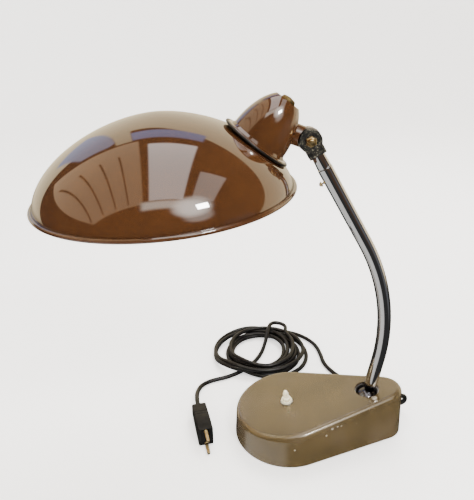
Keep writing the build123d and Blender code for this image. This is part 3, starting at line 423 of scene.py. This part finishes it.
def shade_enamel():
    """Off-white inside of the shade, yellowed towards the bulb."""
    finish = Finish("shade_enamel", srgb(228, 222, 205), 0.35, coat_weight=0.2)
    yellow = finish.near(tuple(NECK_SEAT), 0.03, 0.1)
    colour = finish.mix(finish.both(yellow, 0.7), srgb(229, 224, 208), srgb(196, 176, 128))
    dust = finish.span(finish.noise(120, detail=6), 0.52, 0.75, 0, 0.5)
    finish.put("Base Color", finish.mix(dust, colour, srgb(188, 178, 156)))
    finish.put("Roughness", finish.span(finish.noise(45), 0.3, 0.7, 0.28, 0.5))
    finish.bump(finish.noise(500, detail=2), 0.05, 0.1 * MM)
    return finish.material


# Chips in the base's lacquer: place and size in millimetres.
BASE_CHIPS = [
    ((-54.4, -51.6, 43.8), 1.3),
    ((-61.4, -54.4, 36.2), 1.0),
    ((-47.4, -49.2, 44.6), 0.9),
    ((-42.6, -47.6, 43.9), 0.7),
    ((-100.5, -64.8, 26.2), 0.9),
    ((-22.0, -41.5, 41.0), 0.7),
    ((4.5, -18.0, 58.9), 2.6),
    ((-150.5, 38.0, 30.0), 1.1),
    ((-80.0, 60.5, 44.0), 1.2),
    ((38.0, -22.0, 52.0), 1.0),
]


def base_lacquer():
    """Worn satin lacquer of the base: greyish patches on its top that are partly lacquer bloom and partly
    painted sheen, chips along its front edge.
    """
    tones = (srgb(60, 50, 31), srgb(72, 60, 37), srgb(116, 100, 72))
    gloss = {"roughness": (0.2, 0.27), "coat": (0.8, 0.11, 1.6), "relief": 0.01, "edge": 2 * MM}
    finish, colour = lacquer("base_lacquer", *tones, **gloss)
    finish.put("IOR", 1.6)
    finish.put("Specular Tint", (1.0, 0.88, 0.66, 1))
    # Greyish patches: partly cloudy bloom in the lacquer, partly a painted purple-grey sheen that stands in
    # for reflections.
    bloom_and_painted_sheen = finish.span(finish.noise(16, detail=3), 0.5, 0.72, 0, 0.5)
    colour = finish.mix(bloom_and_painted_sheen, colour, srgb(76, 66, 56))
    chips = None
    for place, size in BASE_CHIPS:
        chip = finish.near(Vector(place) * MM, size * MM, 0.5 * size * MM)
        chips = finish.either(chips, chip) if chips else chip
    ragged = finish.span(finish.noise(900, detail=4), 0.42, 0.5)
    bare = finish.both(chips, ragged)
    finish.put("Base Color", finish.mix(bare, colour, srgb(196, 188, 172)))
    finish.put("Metallic", finish.both(bare, 0.6))
    return finish.material


def chrome(name, tone, roughness):
    """Old chrome: faint haze, rubbed lines along the piece and a few pits."""
    finish = Finish(name, tone, roughness[0], metallic=1.0)
    haze = finish.span(finish.noise(60, detail=6, rough=0.7), 0.4, 0.75, *roughness)
    rubbed = finish.span(finish.noise(300, detail=2, stretch=(6, 6, 0.6)), 0.5, 0.8, 0, 0.06)
    finish.put("Roughness", finish.maths("ADD", haze, rubbed))
    pits = finish.both(finish.dots(300, 0.2), finish.span(finish.noise(25), 0.52, 0.62))
    finish.put("Base Color", finish.mix(finish.both(pits, 0.8), tone, srgb(70, 58, 44)))
    finish.bump(finish.maths("ADD", finish.noise(500, detail=2), pits), 0.015, 0.1 * MM, 0.3 * MM)
    return finish.material


def worn_black():
    """Black lacquer rubbed through to grey metal on a rough casting."""
    finish = Finish("worn_black", srgb(20, 20, 20), 0.45)
    rubbed = finish.span(finish.noise(900, detail=3, rough=0.7), 0.56, 0.62)
    patches = finish.span(finish.noise(130), 0.4, 0.6, 0.2, 1)
    bare = finish.both(rubbed, patches)
    finish.put("Base Color", finish.mix(bare, srgb(10, 11, 12), srgb(150, 146, 128)))
    finish.put("Metallic", finish.both(bare, 0.5))
    finish.put("Roughness", finish.span(finish.noise(200), 0.3, 0.7, 0.3, 0.55))
    finish.bump(finish.noise(420, detail=6, rough=0.7), 0.35, 0.3 * MM, 0.6 * MM)
    return finish.material


def metal(name, bright, dull, roughness):
    """Plain metal with a dull film in patches."""
    finish = Finish(name, bright, roughness, metallic=1.0)
    film = finish.span(finish.noise(180, detail=6, rough=0.7), 0.4, 0.7)
    finish.put("Base Color", finish.mix(film, bright, dull))
    rubbed = finish.span(finish.noise(240, detail=3), 0.3, 0.75, roughness, roughness + 0.25)
    finish.put("Roughness", rubbed)
    finish.bump(finish.noise(1400, detail=2), 0.08, 0.1 * MM, 0.25 * MM)
    return finish.material


def moulded(name, dark, light, roughness, relief, **sockets):
    """Moulded plastic, rubber or ceramic: slight cloud, handling dirt and a fine skin."""
    finish = Finish(name, light, roughness, **sockets)
    cloud = finish.span(finish.noise(90, detail=6, rough=0.7), 0.35, 0.7)
    finish.put("Base Color", finish.mix(cloud, dark, light))
    finish.put("Roughness", finish.span(finish.noise(150), 0.3, 0.7, roughness, roughness + 0.18))
    finish.bump(finish.noise(1100, detail=3), relief, 0.15 * MM, 0.3 * MM)
    return finish.material


def felt():
    """Short matted fibres."""
    finish = Finish("felt", srgb(38, 46, 38), 0.95, sheen_weight=0.4)
    fibres = finish.noise(1600, detail=4, stretch=(1, 3, 1))
    finish.put("Base Color", finish.mix(finish.span(fibres, 0.3, 0.7), srgb(28, 34, 28), srgb(56, 64, 52)))
    finish.bump(fibres, 0.6, 0.4 * MM)
    return finish.material


def frosted_glass():
    """Bulb glass, frosted inside."""
    finish = Finish("frosted_glass", srgb(246, 244, 238), 0.25, transmission_weight=0.75, ior=1.45)
    finish.put("Roughness", finish.span(finish.noise(80), 0.3, 0.7, 0.2, 0.32))
    finish.bump(finish.noise(900, detail=2), 0.03, 0.05 * MM)
    return finish.material


BROWN = shade_lacquer()
ENAMEL = shade_enamel()
BASE = base_lacquer()
CHROME = chrome("chrome", (0.78, 0.78, 0.79, 1), (0.05, 0.16))
# Ball of the arm: a very dark chrome, partly darkened as painted shade of the dark hole that it sits in and
# mirrors.
DARK_CHROME_AND_SHADE = chrome("dark_chrome_and_painted_shade", (0.1, 0.1, 0.11, 1), (0.1, 0.22))
BLACK = worn_black()
STEEL = metal("steel", (0.56, 0.56, 0.57, 1), (0.32, 0.31, 0.29, 1), 0.28)
SPRING_STEEL = metal("spring_steel", (0.34, 0.35, 0.38, 1), (0.2, 0.2, 0.2, 1), 0.3)
IRON = metal("cast_iron", (0.13, 0.125, 0.12, 1), (0.09, 0.06, 0.045, 1), 0.6)
BRASS = metal("brass", srgb(234, 214, 166), srgb(186, 158, 104), 0.22)
DULL_BRASS = metal("dull_brass", srgb(148, 128, 84), srgb(98, 84, 54), 0.35)
ALUMINIUM = metal("aluminium", (0.72, 0.72, 0.73, 1), (0.5, 0.5, 0.5, 1), 0.3)
CREAM = moulded("cream_plastic", srgb(212, 198, 160), srgb(238, 231, 208), 0.36, 0.08, subsurface_weight=0.1)
CORD = moulded("cord_rubber", srgb(9, 9, 9), srgb(16, 16, 16), 0.28, 0.1, specular_ior_level=0.4)
PLUG = moulded("plug_rubber", srgb(8, 8, 8), srgb(16, 16, 16), 0.45, 0.15, specular_ior_level=0.3)
RUBBER = moulded("rubber", srgb(14, 14, 14), srgb(34, 33, 31), 0.55, 0.25)
BAKELITE = moulded("bakelite", srgb(22, 13, 9), srgb(44, 27, 18), 0.2, 0.05, coat_weight=0.3)
# Pale fibre of the friction washer: its light tone is partly a painted highlight along the knuckle disc's
# edge.
PALE_FIBRE_AND_HIGHLIGHT = moulded("fibre", srgb(134, 122, 108), srgb(168, 158, 144), 0.6, 0.3)
CERAMIC = moulded("ceramic", srgb(214, 209, 196), srgb(240, 237, 228), 0.3, 0.08)
SMOOTH_BLACK = moulded("black_lacquer", srgb(9, 9, 9), srgb(16, 15, 14), 0.25, 0.04)
FELT = felt()
GLASS = frosted_glass()

FINISHES = {
    BASE: ("base_housing",),
    STEEL: (
        "base_plate",
        "base_screws",
        "ballast_screws",
        "ball_seat",
        "spring_retainer",
        "retainer_screws",
        "switch_washer",
        "clamp_screws",
        "neck_nipple",
    ),
    FELT: ("felt_pad",),
    IRON: ("ballast_weight",),
    BRASS: (
        "pressure_cup",
        "pivot_bolt",
        "pivot_nut",
        "thumbscrew",
        "thread_shell",
        "centre_contact",
        "plug_pins",
    ),
    SPRING_STEEL: ("disc_spring",),
    # Ball: dark chrome, partly painted shade of its hole.
    DARK_CHROME_AND_SHADE: ("arm_ball",),
    CHROME: ("arm_tube", "swivel_stub", "stub_bush"),
    CORD: ("arm_lead", "inner_lead", "switch_leads"),
    BLACK: ("knuckle_lug",),
    # Friction washer: pale fibre, partly a painted highlight.
    PALE_FIBRE_AND_HIGHLIGHT: ("friction_washer", "cord_clamp"),
    BROWN: ("neck_knuckle", "neck_cap", "shade"),
    RUBBER: ("neck_gasket", "cord_grommet"),
    DULL_BRASS: ("cap_nut",),
    BAKELITE: ("holder_body", "shade_ring", "switch_body"),
    CERAMIC: ("contact_plate", "terminal_block"),
    ALUMINIUM: ("bulb_cap",),
    GLASS: ("bulb_glass",),
    CREAM: ("switch_collar", "switch_button"),
    PLUG: ("plug_body",),
    SMOOTH_BLACK: ("neck_flange",),
}
for finish, names in FINISHES.items():
    for name in names:
        for slot in NODES[name].material_slots:
            slot.material = finish


def cord():
    """Mains cord from the grommet through its coil to the plug, on one smooth line."""
    route = [CORD_EXIT] + LEAD_POINTS + coil_points() + CROSSING_POINTS + PLUG_POINTS
    curve = bpy.data.curves.new("cord", "CURVE")
    curve.dimensions = "3D"
    spline = curve.splines.new("NURBS")
    spline.points.add(len(route) - 1)
    for point, place in zip(spline.points, route):
        point.co = (*(Vector(place) * MM), 1)
    spline.order_u = 3
    spline.use_endpoint_u = True
    spline.resolution_u = 8
    curve.bevel_depth = CORD_DIAMETER / 2
    curve.bevel_resolution = 4
    curve.materials.append(CORD)
    piece = bpy.data.objects.new("cord", curve)
    bpy.context.scene.collection.objects.link(piece)
    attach(piece, "base")
    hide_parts("cord_lead", "cord_coil", "plug_lead")
    return piece


def dome_line(inset, steps=72):
    """Side of the dome from its rim to its crown."""
    power = 2 / SHADE_FULLNESS
    angles = [pi / 2 * step / steps for step in range(steps)]
    radius = DOME_RADIUS - inset
    depth = SHADE_DEPTH - inset
    return [(radius * cos(at) ** power, depth * sin(at) ** power) for at in angles] + [(0.0, depth)]


def shade():
    """Spun dome with a rolled bead, and a flat seat pressed in for the neck."""
    outside = [point for point in dome_line(0) if point[1] > OUTSIDE_FOOT]
    inside = [point for point in dome_line(SHADE_WALL) if point[1] > INSIDE_FOOT]
    turns = [radians(at) for at in BEAD_TURNS]
    bead = [(SHADE_RADIUS + BEAD_RADIUS * cos(at), BEAD_RADIUS * sin(at)) for at in turns]
    skin = len(outside) + len(bead)
    bm = bmesh.new()
    slots = [0] * (skin - BEAD_INSIDE_STEPS) + [1] * (len(inside) + BEAD_INSIDE_STEPS)
    rings = turned(bm, outside[::-1] + bead + inside, SHADE_CENTRE, SHADE_AXIS, SHADE_STEPS, slots)
    for index, ring in enumerate(rings):
        inset = 0 if index < skin else SHADE_WALL
        for vert in ring:
            above = (vert.co - NECK_SEAT).dot(NECK_AXIS) + inset
            level = (above - sqrt(above**2 + SEAT_SOFTNESS**2)) / 2
            vert.co += NECK_AXIS * (level - above)
    piece = piece_from("shade_dome", bm, [BROWN, ENAMEL], "head", smooth_angle=60)
    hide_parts("shade")


# Turned outlines: radius, height and rounding of each corner, in millimetres.
FLANGE_OUTLINE = [(17.8, 1.0, 0), (38.0, 1.0, 0.2), (38.0, 1.7, 0.2), (17.8, 1.7, 0)]
LIP_OUTLINE = [
    (28.8, 1.7, 0),
    (35.6, 1.7, 0.2),
    (35.2, 2.3, 0.3),
    (32.4, 3.2, 1.2),
    (30.2, 6.4, 0),
    (28.8, 2.4, 0),
]
CAP_NUT_OUTLINE = [(0, 52.4, 0), (7.3, 52.4, 0.3), (7.3, 54.9, 1.1), (5.4, 55.9, 1.2), (0, 56.6, 0)]
BOLT_OUTLINE = [
    (0, -14.6, 0),
    (4.6, -14.6, 1.0),
    (6.0, -13.4, 0.8),
    (6.0, -11.1, 0.2),
    (3.0, -11.1, 0),
    (3.0, 16.3, 1.1),
    (0, 16.3, 0),
]
NUT_OUTLINE = [
    (3.05, 10.5, 0),
    (5.2, 10.5, 0.2),
    (5.2, 13.2, 0.2),
    (4.4, 14.1, 0.3),
    (3.4, 14.1, 0),
    (3.05, 13.8, 0),
]
SHOULDER_OUTLINE = [(5.4, -34.0, 0), (6.0, -34.0, 0), (6.9, -33.1, 0.3), (6.9, -18.0, 0), (5.4, -18.0, 0)]
SCREW_OUTLINE = [
    (0, 5.7, 0),
    (1.4, 5.7, 0.3),
    (1.4, 9.5, 0.4),
    (2.6, 10.6, 0.7),
    (2.6, 13.6, 1.5),
    (0, 13.8, 0),
]
COLLAR_OUTLINE = [
    (5.05, 1.0, 0),
    (6.4, 1.0, 0.3),
    (6.4, 3.7, 0.7),
    (5.5, 4.4, 0.3),
    (5.5, 7.5, 1.3),
    (2.86, 7.5, 0.3),
    (2.86, 5.9, 0),
    (5.05, 5.9, 0),
]
PLUNGER_OUTLINE = [
    (0, -10, 0),
    (2.8, -10, 0.3),
    (2.8, 11.8, 0.3),
    (2.4, 12.2, 0.2),
    (2.4, 12.8, 0.2),
    (2.8, 13.2, 0.3),
    (2.8, 17.5, 1.5),
    (0, 17.5, 0),
]
PIN_OUTLINE = [
    (0, -10, 0),
    (2.4, -10, 0),
    (2.4, 1.6, 0),
    (2.1, 1.9, 0),
    (2.1, 2.3, 0),
    (2.4, 2.6, 0),
    (2.4, 19.0, 1.4),
    (0, 19.0, 0),
]
PIN_STEPS = 32


def neck_trim():
    """Thin black flange under the neck cap, the lip at the cap's foot, and the round nut on its top."""
    seat = (NECK_SEAT, NECK_AXIS)
    trim("neck_flange_thin", FLANGE_OUTLINE, *seat, SMOOTH_BLACK, "head", "black_paint", "neck_flange")
    trim("neck_lip", LIP_OUTLINE, *seat, BROWN, "head", "shade_paint")
    trim("cap_nut_round", CAP_NUT_OUTLINE, *seat, DULL_BRASS, "head", "brass", "cap_nut")


def knuckle_trim():
    """Bolt and chamfered nut of the knuckle, the stub's shoulder, and the screw that holds the stub."""
    pin = (PIVOT, TOWARDS_VIEW)
    trim("pivot_bolt_round", BOLT_OUTLINE, *pin, BRASS, "knuckle", "brass", "pivot_bolt")
    trim("pivot_nut_hex", NUT_OUTLINE, *pin, BRASS, "knuckle", "brass", "pivot_nut", steps=6, arc=3)
    trim("stub_shoulder", SHOULDER_OUTLINE, PIVOT, TIP_AXIS, CHROME, "knuckle", "chrome", steps=64)
    screw = (PIVOT - TIP_AXIS * THUMBSCREW_BACK, Vector((-TIP_AXIS.z, 0, TIP_AXIS.x)))
    trim("thumbscrew_round", SCREW_OUTLINE, *screw, BRASS, "arm", "brass", "thumbscrew", steps=48)


def switch():
    """Stepped collar and rounded plunger of the switch."""
    top = (SWITCH_POINT, SWITCH_AXIS)
    trim("switch_collar_stepped", COLLAR_OUTLINE, *top, CREAM, "base", "cream", "switch_collar", steps=72)
    trim("switch_plunger", PLUNGER_OUTLINE, *top, CREAM, "button", "cream", "switch_button", steps=48)


# Plug sections: distance behind the face, height and thickness, in millimetres.
PLUG_SECTIONS = [
    (0.0, 23.6, 16.6),
    (0.4, 25.2, 18.2),
    (1.4, 26.0, 19.0),
    (21.0, 26.0, 19.0),
    (24.0, 25.4, 19.0),
    (27.0, 24.4, 19.0),
    (29.6, 23.8, 19.0),
    (30.0, 23.0, 18.2),
    (31.4, 22.6, 18.2),
    (31.8, 23.2, 19.0),
    (35.4, 22.2, 19.0),
    (35.8, 21.4, 18.2),
    (37.2, 21.0, 18.2),
    (37.6, 21.6, 19.0),
    (53.6, 17.3, 19.0),
    (54.9, 16.4, 18.2),
    (55.5, 15.2, 17.0),
]
# Sleeve over the cord behind the plug: distance behind the face and radius, in millimetres.
SLEEVE_SECTIONS = [
    (54.5, 5.2),
    (57.1, 5.1),
    (57.5, 4.6),
    (58.7, 4.5),
    (59.1, 4.8),
    (61.1, 4.5),
    (61.5, 4.1),
    (62.3, 3.9),
    (62.9, 3.3),
]
SECTION_STEPS = 56


def skinned(bm, rings):
    """Skin over rings of points, closed at both ends."""
    rings = [[bm.verts.new(place) for place in ring] for ring in rings]
    count = len(rings[0])
    for ring, following in zip(rings, rings[1:]):
        for step in range(count):
            after = (step + 1) % count
            bm.faces.new((ring[step], ring[after], following[after], following[step]))
    bm.faces.new(rings[0][::-1])
    bm.faces.new(rings[-1])


def box_section(back, height, thickness, squareness=0.14):
    """Ring of points round the plug's body."""
    side = PLUG_AXIS.cross(UP)
    ring = []
    for step in range(SECTION_STEPS):
        at = 2 * pi * step / SECTION_STEPS
        across = abs(cos(at)) ** squareness * thickness / 2 * (1 if cos(at) > 0 else -1)
        rise = abs(sin(at)) ** squareness * height / 2 * (1 if sin(at) > 0 else -1)
        ring.append(PLUG_FACE + (side * across + UP * rise - PLUG_AXIS * back) * MM)
    return ring


def round_section(back, radius):
    """Ring of points round the sleeve."""
    side = PLUG_AXIS.cross(UP)
    ring = []
    for step in range(SECTION_STEPS):
        at = 2 * pi * step / SECTION_STEPS
        out = side * cos(at) * radius + UP * sin(at) * radius
        ring.append(PLUG_FACE + (out - PLUG_AXIS * back) * MM)
    return ring


def plug():
    """Moulded two-pin plug with grip ridges and a ribbed sleeve, and its two round pins."""
    bm = bmesh.new()
    skinned(bm, [box_section(*section) for section in PLUG_SECTIONS])
    skinned(bm, [round_section(*section) for section in SLEEVE_SECTIONS])
    body = piece_from("plug_moulding", bm, [PLUG], "base", smooth_angle=35)
    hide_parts("plug_body")
    bm = bmesh.new()
    for end in (-1, 1):
        middle = PLUG_FACE + UP * (end * PIN_SPACING / 2)
        turned(bm, rounded(PIN_OUTLINE), middle, PLUG_AXIS, PIN_STEPS)
    pins = piece_from("plug_contacts", bm, [BRASS], "base")
    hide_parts("plug_pins")
    return [body, pins]


place_camera()
shade()
neck_trim()
knuckle_trim()
switch()
plug_pieces = plug()
flex = cord()


def soft_light(name, place, target, width, height, watts, colour, seen):
    """Rectangular softbox. One that is not seen gives no reflection of itself."""
    data = bpy.data.lights.new(name, "AREA")
    data.shape = "RECTANGLE"
    data.size = width
    data.size_y = height
    data.energy = watts
    data.color = colour
    light = bpy.data.objects.new(name, data)
    light.location = place
    light.rotation_euler = (Vector(target) - Vector(place)).to_track_quat("-Z", "Y").to_euler()
    light.visible_glossy = seen
    bpy.context.scene.collection.objects.link(light)


# Stage: flat floor, the curve at its edge, and the wall above, in metres.
FLOOR_MIDDLE = Vector((-0.1, 0, 0))
FLOOR_RADIUS = 2.4
CURVE_RADIUS = 1.0
WALL_HEIGHT = 2.6
STAGE_STEPS = 64


def stage():
    """Pale floor that curves up into a backdrop all round, left out of reflections."""
    line = [(0.0, 0.0), (FLOOR_RADIUS, 0.0)]
    for turn in range(10, 91, 10):
        at = radians(turn)
        line.append((FLOOR_RADIUS + CURVE_RADIUS * sin(at), CURVE_RADIUS * (1 - cos(at))))
    line.append((FLOOR_RADIUS + CURVE_RADIUS, WALL_HEIGHT))
    bm = bmesh.new()
    turned(bm, line, FLOOR_MIDDLE, UP, STAGE_STEPS, closed=False)
    mesh = bpy.data.meshes.new("floor")
    bm.to_mesh(mesh)
    bm.free()
    for face in mesh.polygons:
        face.use_smooth = True
    glow = {"emission_color": (1, 1, 1, 1), "emission_strength": 0.95}
    finish = Finish("pale_floor", (0.9, 0.9, 0.89, 1), 0.7, **glow)
    finish.bump(finish.noise(300), 0.02, 0.1 * MM)
    mesh.materials.append(finish.material)
    floor = bpy.data.objects.new("floor", mesh)
    floor.visible_glossy = False
    bpy.context.scene.collection.objects.link(floor)


class Sky:
    """World light in the making, as one panel laid over another."""

    def __init__(self, colour):
        world = bpy.data.worlds.new("studio")
        bpy.context.scene.world = world
        world.use_nodes = True
        self.tree = world.node_tree
        self.way = self.tree.nodes.new("ShaderNodeTexCoord").outputs["Generated"]
        self.split = self.tree.nodes.new("ShaderNodeSeparateXYZ")
        self.tree.links.new(self.way, self.split.inputs[0])
        self.colour = colour

    def step(self, value, start, full):
        """0 below start, 1 above full."""
        ramp = self.tree.nodes.new("ShaderNodeMapRange")
        ramp.interpolation_type = "SMOOTHSTEP"
        self.tree.links.new(value, ramp.inputs["Value"])
        ramp.inputs["From Min"].default_value = start
        ramp.inputs["From Max"].default_value = full
        return ramp.outputs["Result"]

    def towards(self, direction, start, full):
        """Round panel about a direction, between two cosines."""
        dot = self.tree.nodes.new("ShaderNodeVectorMath")
        dot.operation = "DOT_PRODUCT"
        self.tree.links.new(self.way, dot.inputs[0])
        dot.inputs[1].default_value = Vector(direction).normalized()
        return self.step(dot.outputs["Value"], start, full)

    def panel(self, blur, **ranges):
        """Panel between lowest and highest values of the direction's x, y and z."""
        share = None
        for axis, (low, high) in ranges.items():
            value = self.split.outputs[axis.upper()]
            edges = (low - blur, low + blur), (high + blur, high - blur)
            for edge in [self.step(value, *ends) for ends in edges]:
                if share is None:
                    share = edge
                    continue
                node = self.tree.nodes.new("ShaderNodeMath")
                node.operation = "MULTIPLY"
                self.tree.links.new(share, node.inputs[0])
                self.tree.links.new(edge, node.inputs[1])
                share = node.outputs[0]
        return share

    def lay(self, share, tint):
        """Lay a panel of one tint over what is there."""
        mix = self.tree.nodes.new("ShaderNodeMix")
        mix.data_type = "RGBA"
        self.tree.links.new(share, mix.inputs[MIX_SHARE])
        if isinstance(self.colour, tuple):
            mix.inputs[MIX_FIRST].default_value = self.colour
        else:
            self.tree.links.new(self.colour, mix.inputs[MIX_FIRST])
        mix.inputs[MIX_SECOND].default_value = tint
        self.colour = mix.outputs[MIX_RESULT]

    def hang(self, strength):
        """Make what was laid the world's light."""
        background = self.tree.nodes["Background"]
        self.tree.links.new(self.colour, background.inputs["Color"])
        background.inputs["Strength"].default_value = strength


# Tints of what the lacquer and the chrome mirror, in the order in which they are laid.
PALE_WALL = (1.35, 1.13, 0.74, 1)
DIM_ROOM = (0.08, 0.05, 0.035, 1)
WALL_STRIP = (1.3, 1.08, 0.7, 1)
HAZY_SKY = (0.62, 0.7, 0.96, 1)
BLUE_SKY = (0.48, 0.64, 1.1, 1)
WOODEN_CEILING = (1.2, 0.85, 0.54, 1)
CEILING_BEAM = (0.2, 0.13, 0.08, 1)
ROOF_LIGHT = (2.9, 2.7, 2.6, 1)
SIDE_LIGHT = (1.6, 1.45, 1.35, 1)
LOW_LIGHT = (3.0, 2.8, 2.5, 1)
SUN_HALO = (1.8, 1.7, 1.6, 1)
SUN_GLARE = (6.0, 5.7, 5.3, 1)
DARK_BELOW = (0.035, 0.035, 0.035, 1)
PALE_TABLE = (0.78, 0.77, 0.74, 1)
DARK_CORNER = (0.12, 0.12, 0.13, 1)

# Panels lie between values of a direction's x, y and z: soft edges, and a bound beyond all directions.
CRISP = 0.012
SHARP = 0.006
SOFT = 0.04
OPEN = 2
BEAM_PLACES = (-0.42, -0.56, -0.7, -0.83)
BEAM_HALF = 0.008


def sky():
    """Pale wall behind the lamp, a dim room in front with sky, ceiling and lights, and a pale table."""
    light = Sky(PALE_WALL)
    light.lay(light.towards((-0.3, -1.0, 0.6), -0.25, -0.22), DIM_ROOM)
    light.lay(light.panel(CRISP, x=(-0.41, -0.3), y=(0.58, 0.8), z=(0.5, 0.76)), WALL_STRIP)
    light.lay(light.panel(CRISP, x=(-0.62, -0.41), y=(0.6, 0.9), z=(0.19, 0.66)), HAZY_SKY)
    light.lay(light.panel(CRISP, x=(-0.3, 0.22), y=(0.59, 0.7), z=(0.5, OPEN)), BLUE_SKY)
    light.lay(light.panel(CRISP, x=(-OPEN, -0.26), y=(-0.5, 0.56), z=(0.3, OPEN)), WOODEN_CEILING)
    for beam in BEAM_PLACES:
        sides = (beam - BEAM_HALF, beam + BEAM_HALF)
        light.lay(light.panel(SHARP, x=sides, y=(-0.45, 0.4), z=(0.3, OPEN)), CEILING_BEAM)
    light.lay(light.panel(CRISP, x=(-0.19, 0.2), y=(-0.45, 0.5), z=(0.1, OPEN)), ROOF_LIGHT)
    light.lay(light.panel(CRISP, x=(0.3, 0.56), y=(-0.4, 0.1), z=(0.1, OPEN)), SIDE_LIGHT)
    light.lay(light.panel(SOFT, x=(-0.28, 0.3), y=(-0.62, -0.47), z=(0.5, OPEN)), LOW_LIGHT)
    light.lay(light.towards((0.45, -0.72, 0.53), 0.965, 0.995), SUN_HALO)
    light.lay(light.towards((0.34, -0.6, 0.73), 0.95, 1.0), SUN_GLARE)
    light.lay(light.towards((0.0, 0.0, -1.0), 0.12, 0.3), DARK_BELOW)
    light.lay(light.towards((-0.55, -0.35, -0.76), 0.75, 0.85), PALE_TABLE)
    light.lay(light.towards((0.9, -0.4, -0.15), 0.93, 0.97), DARK_CORNER)
    light.hang(1.0)


stage()
sky()
soft_light(
    "key",
    place=(-0.8, -0.9, 1.5),
    target=(-0.15, 0.0, 0.2),
    width=1.4,
    height=1.2,
    watts=11,
    colour=(1.0, 0.97, 0.93),
    seen=False,
)
soft_light(
    "back",
    place=(0.4, 0.9, 1.8),
    target=(-0.1, 0.0, 0.1),
    width=1.6,
    height=0.9,
    watts=60,
    colour=(1.0, 0.98, 0.95),
    seen=False,
)
soft_light(
    "sun",
    place=(0.35, -0.75, 1.2),
    target=(-0.1, 0.0, 0.1),
    width=0.2,
    height=0.16,
    watts=9,
    colour=(1.0, 0.98, 0.95),
    seen=True,
)
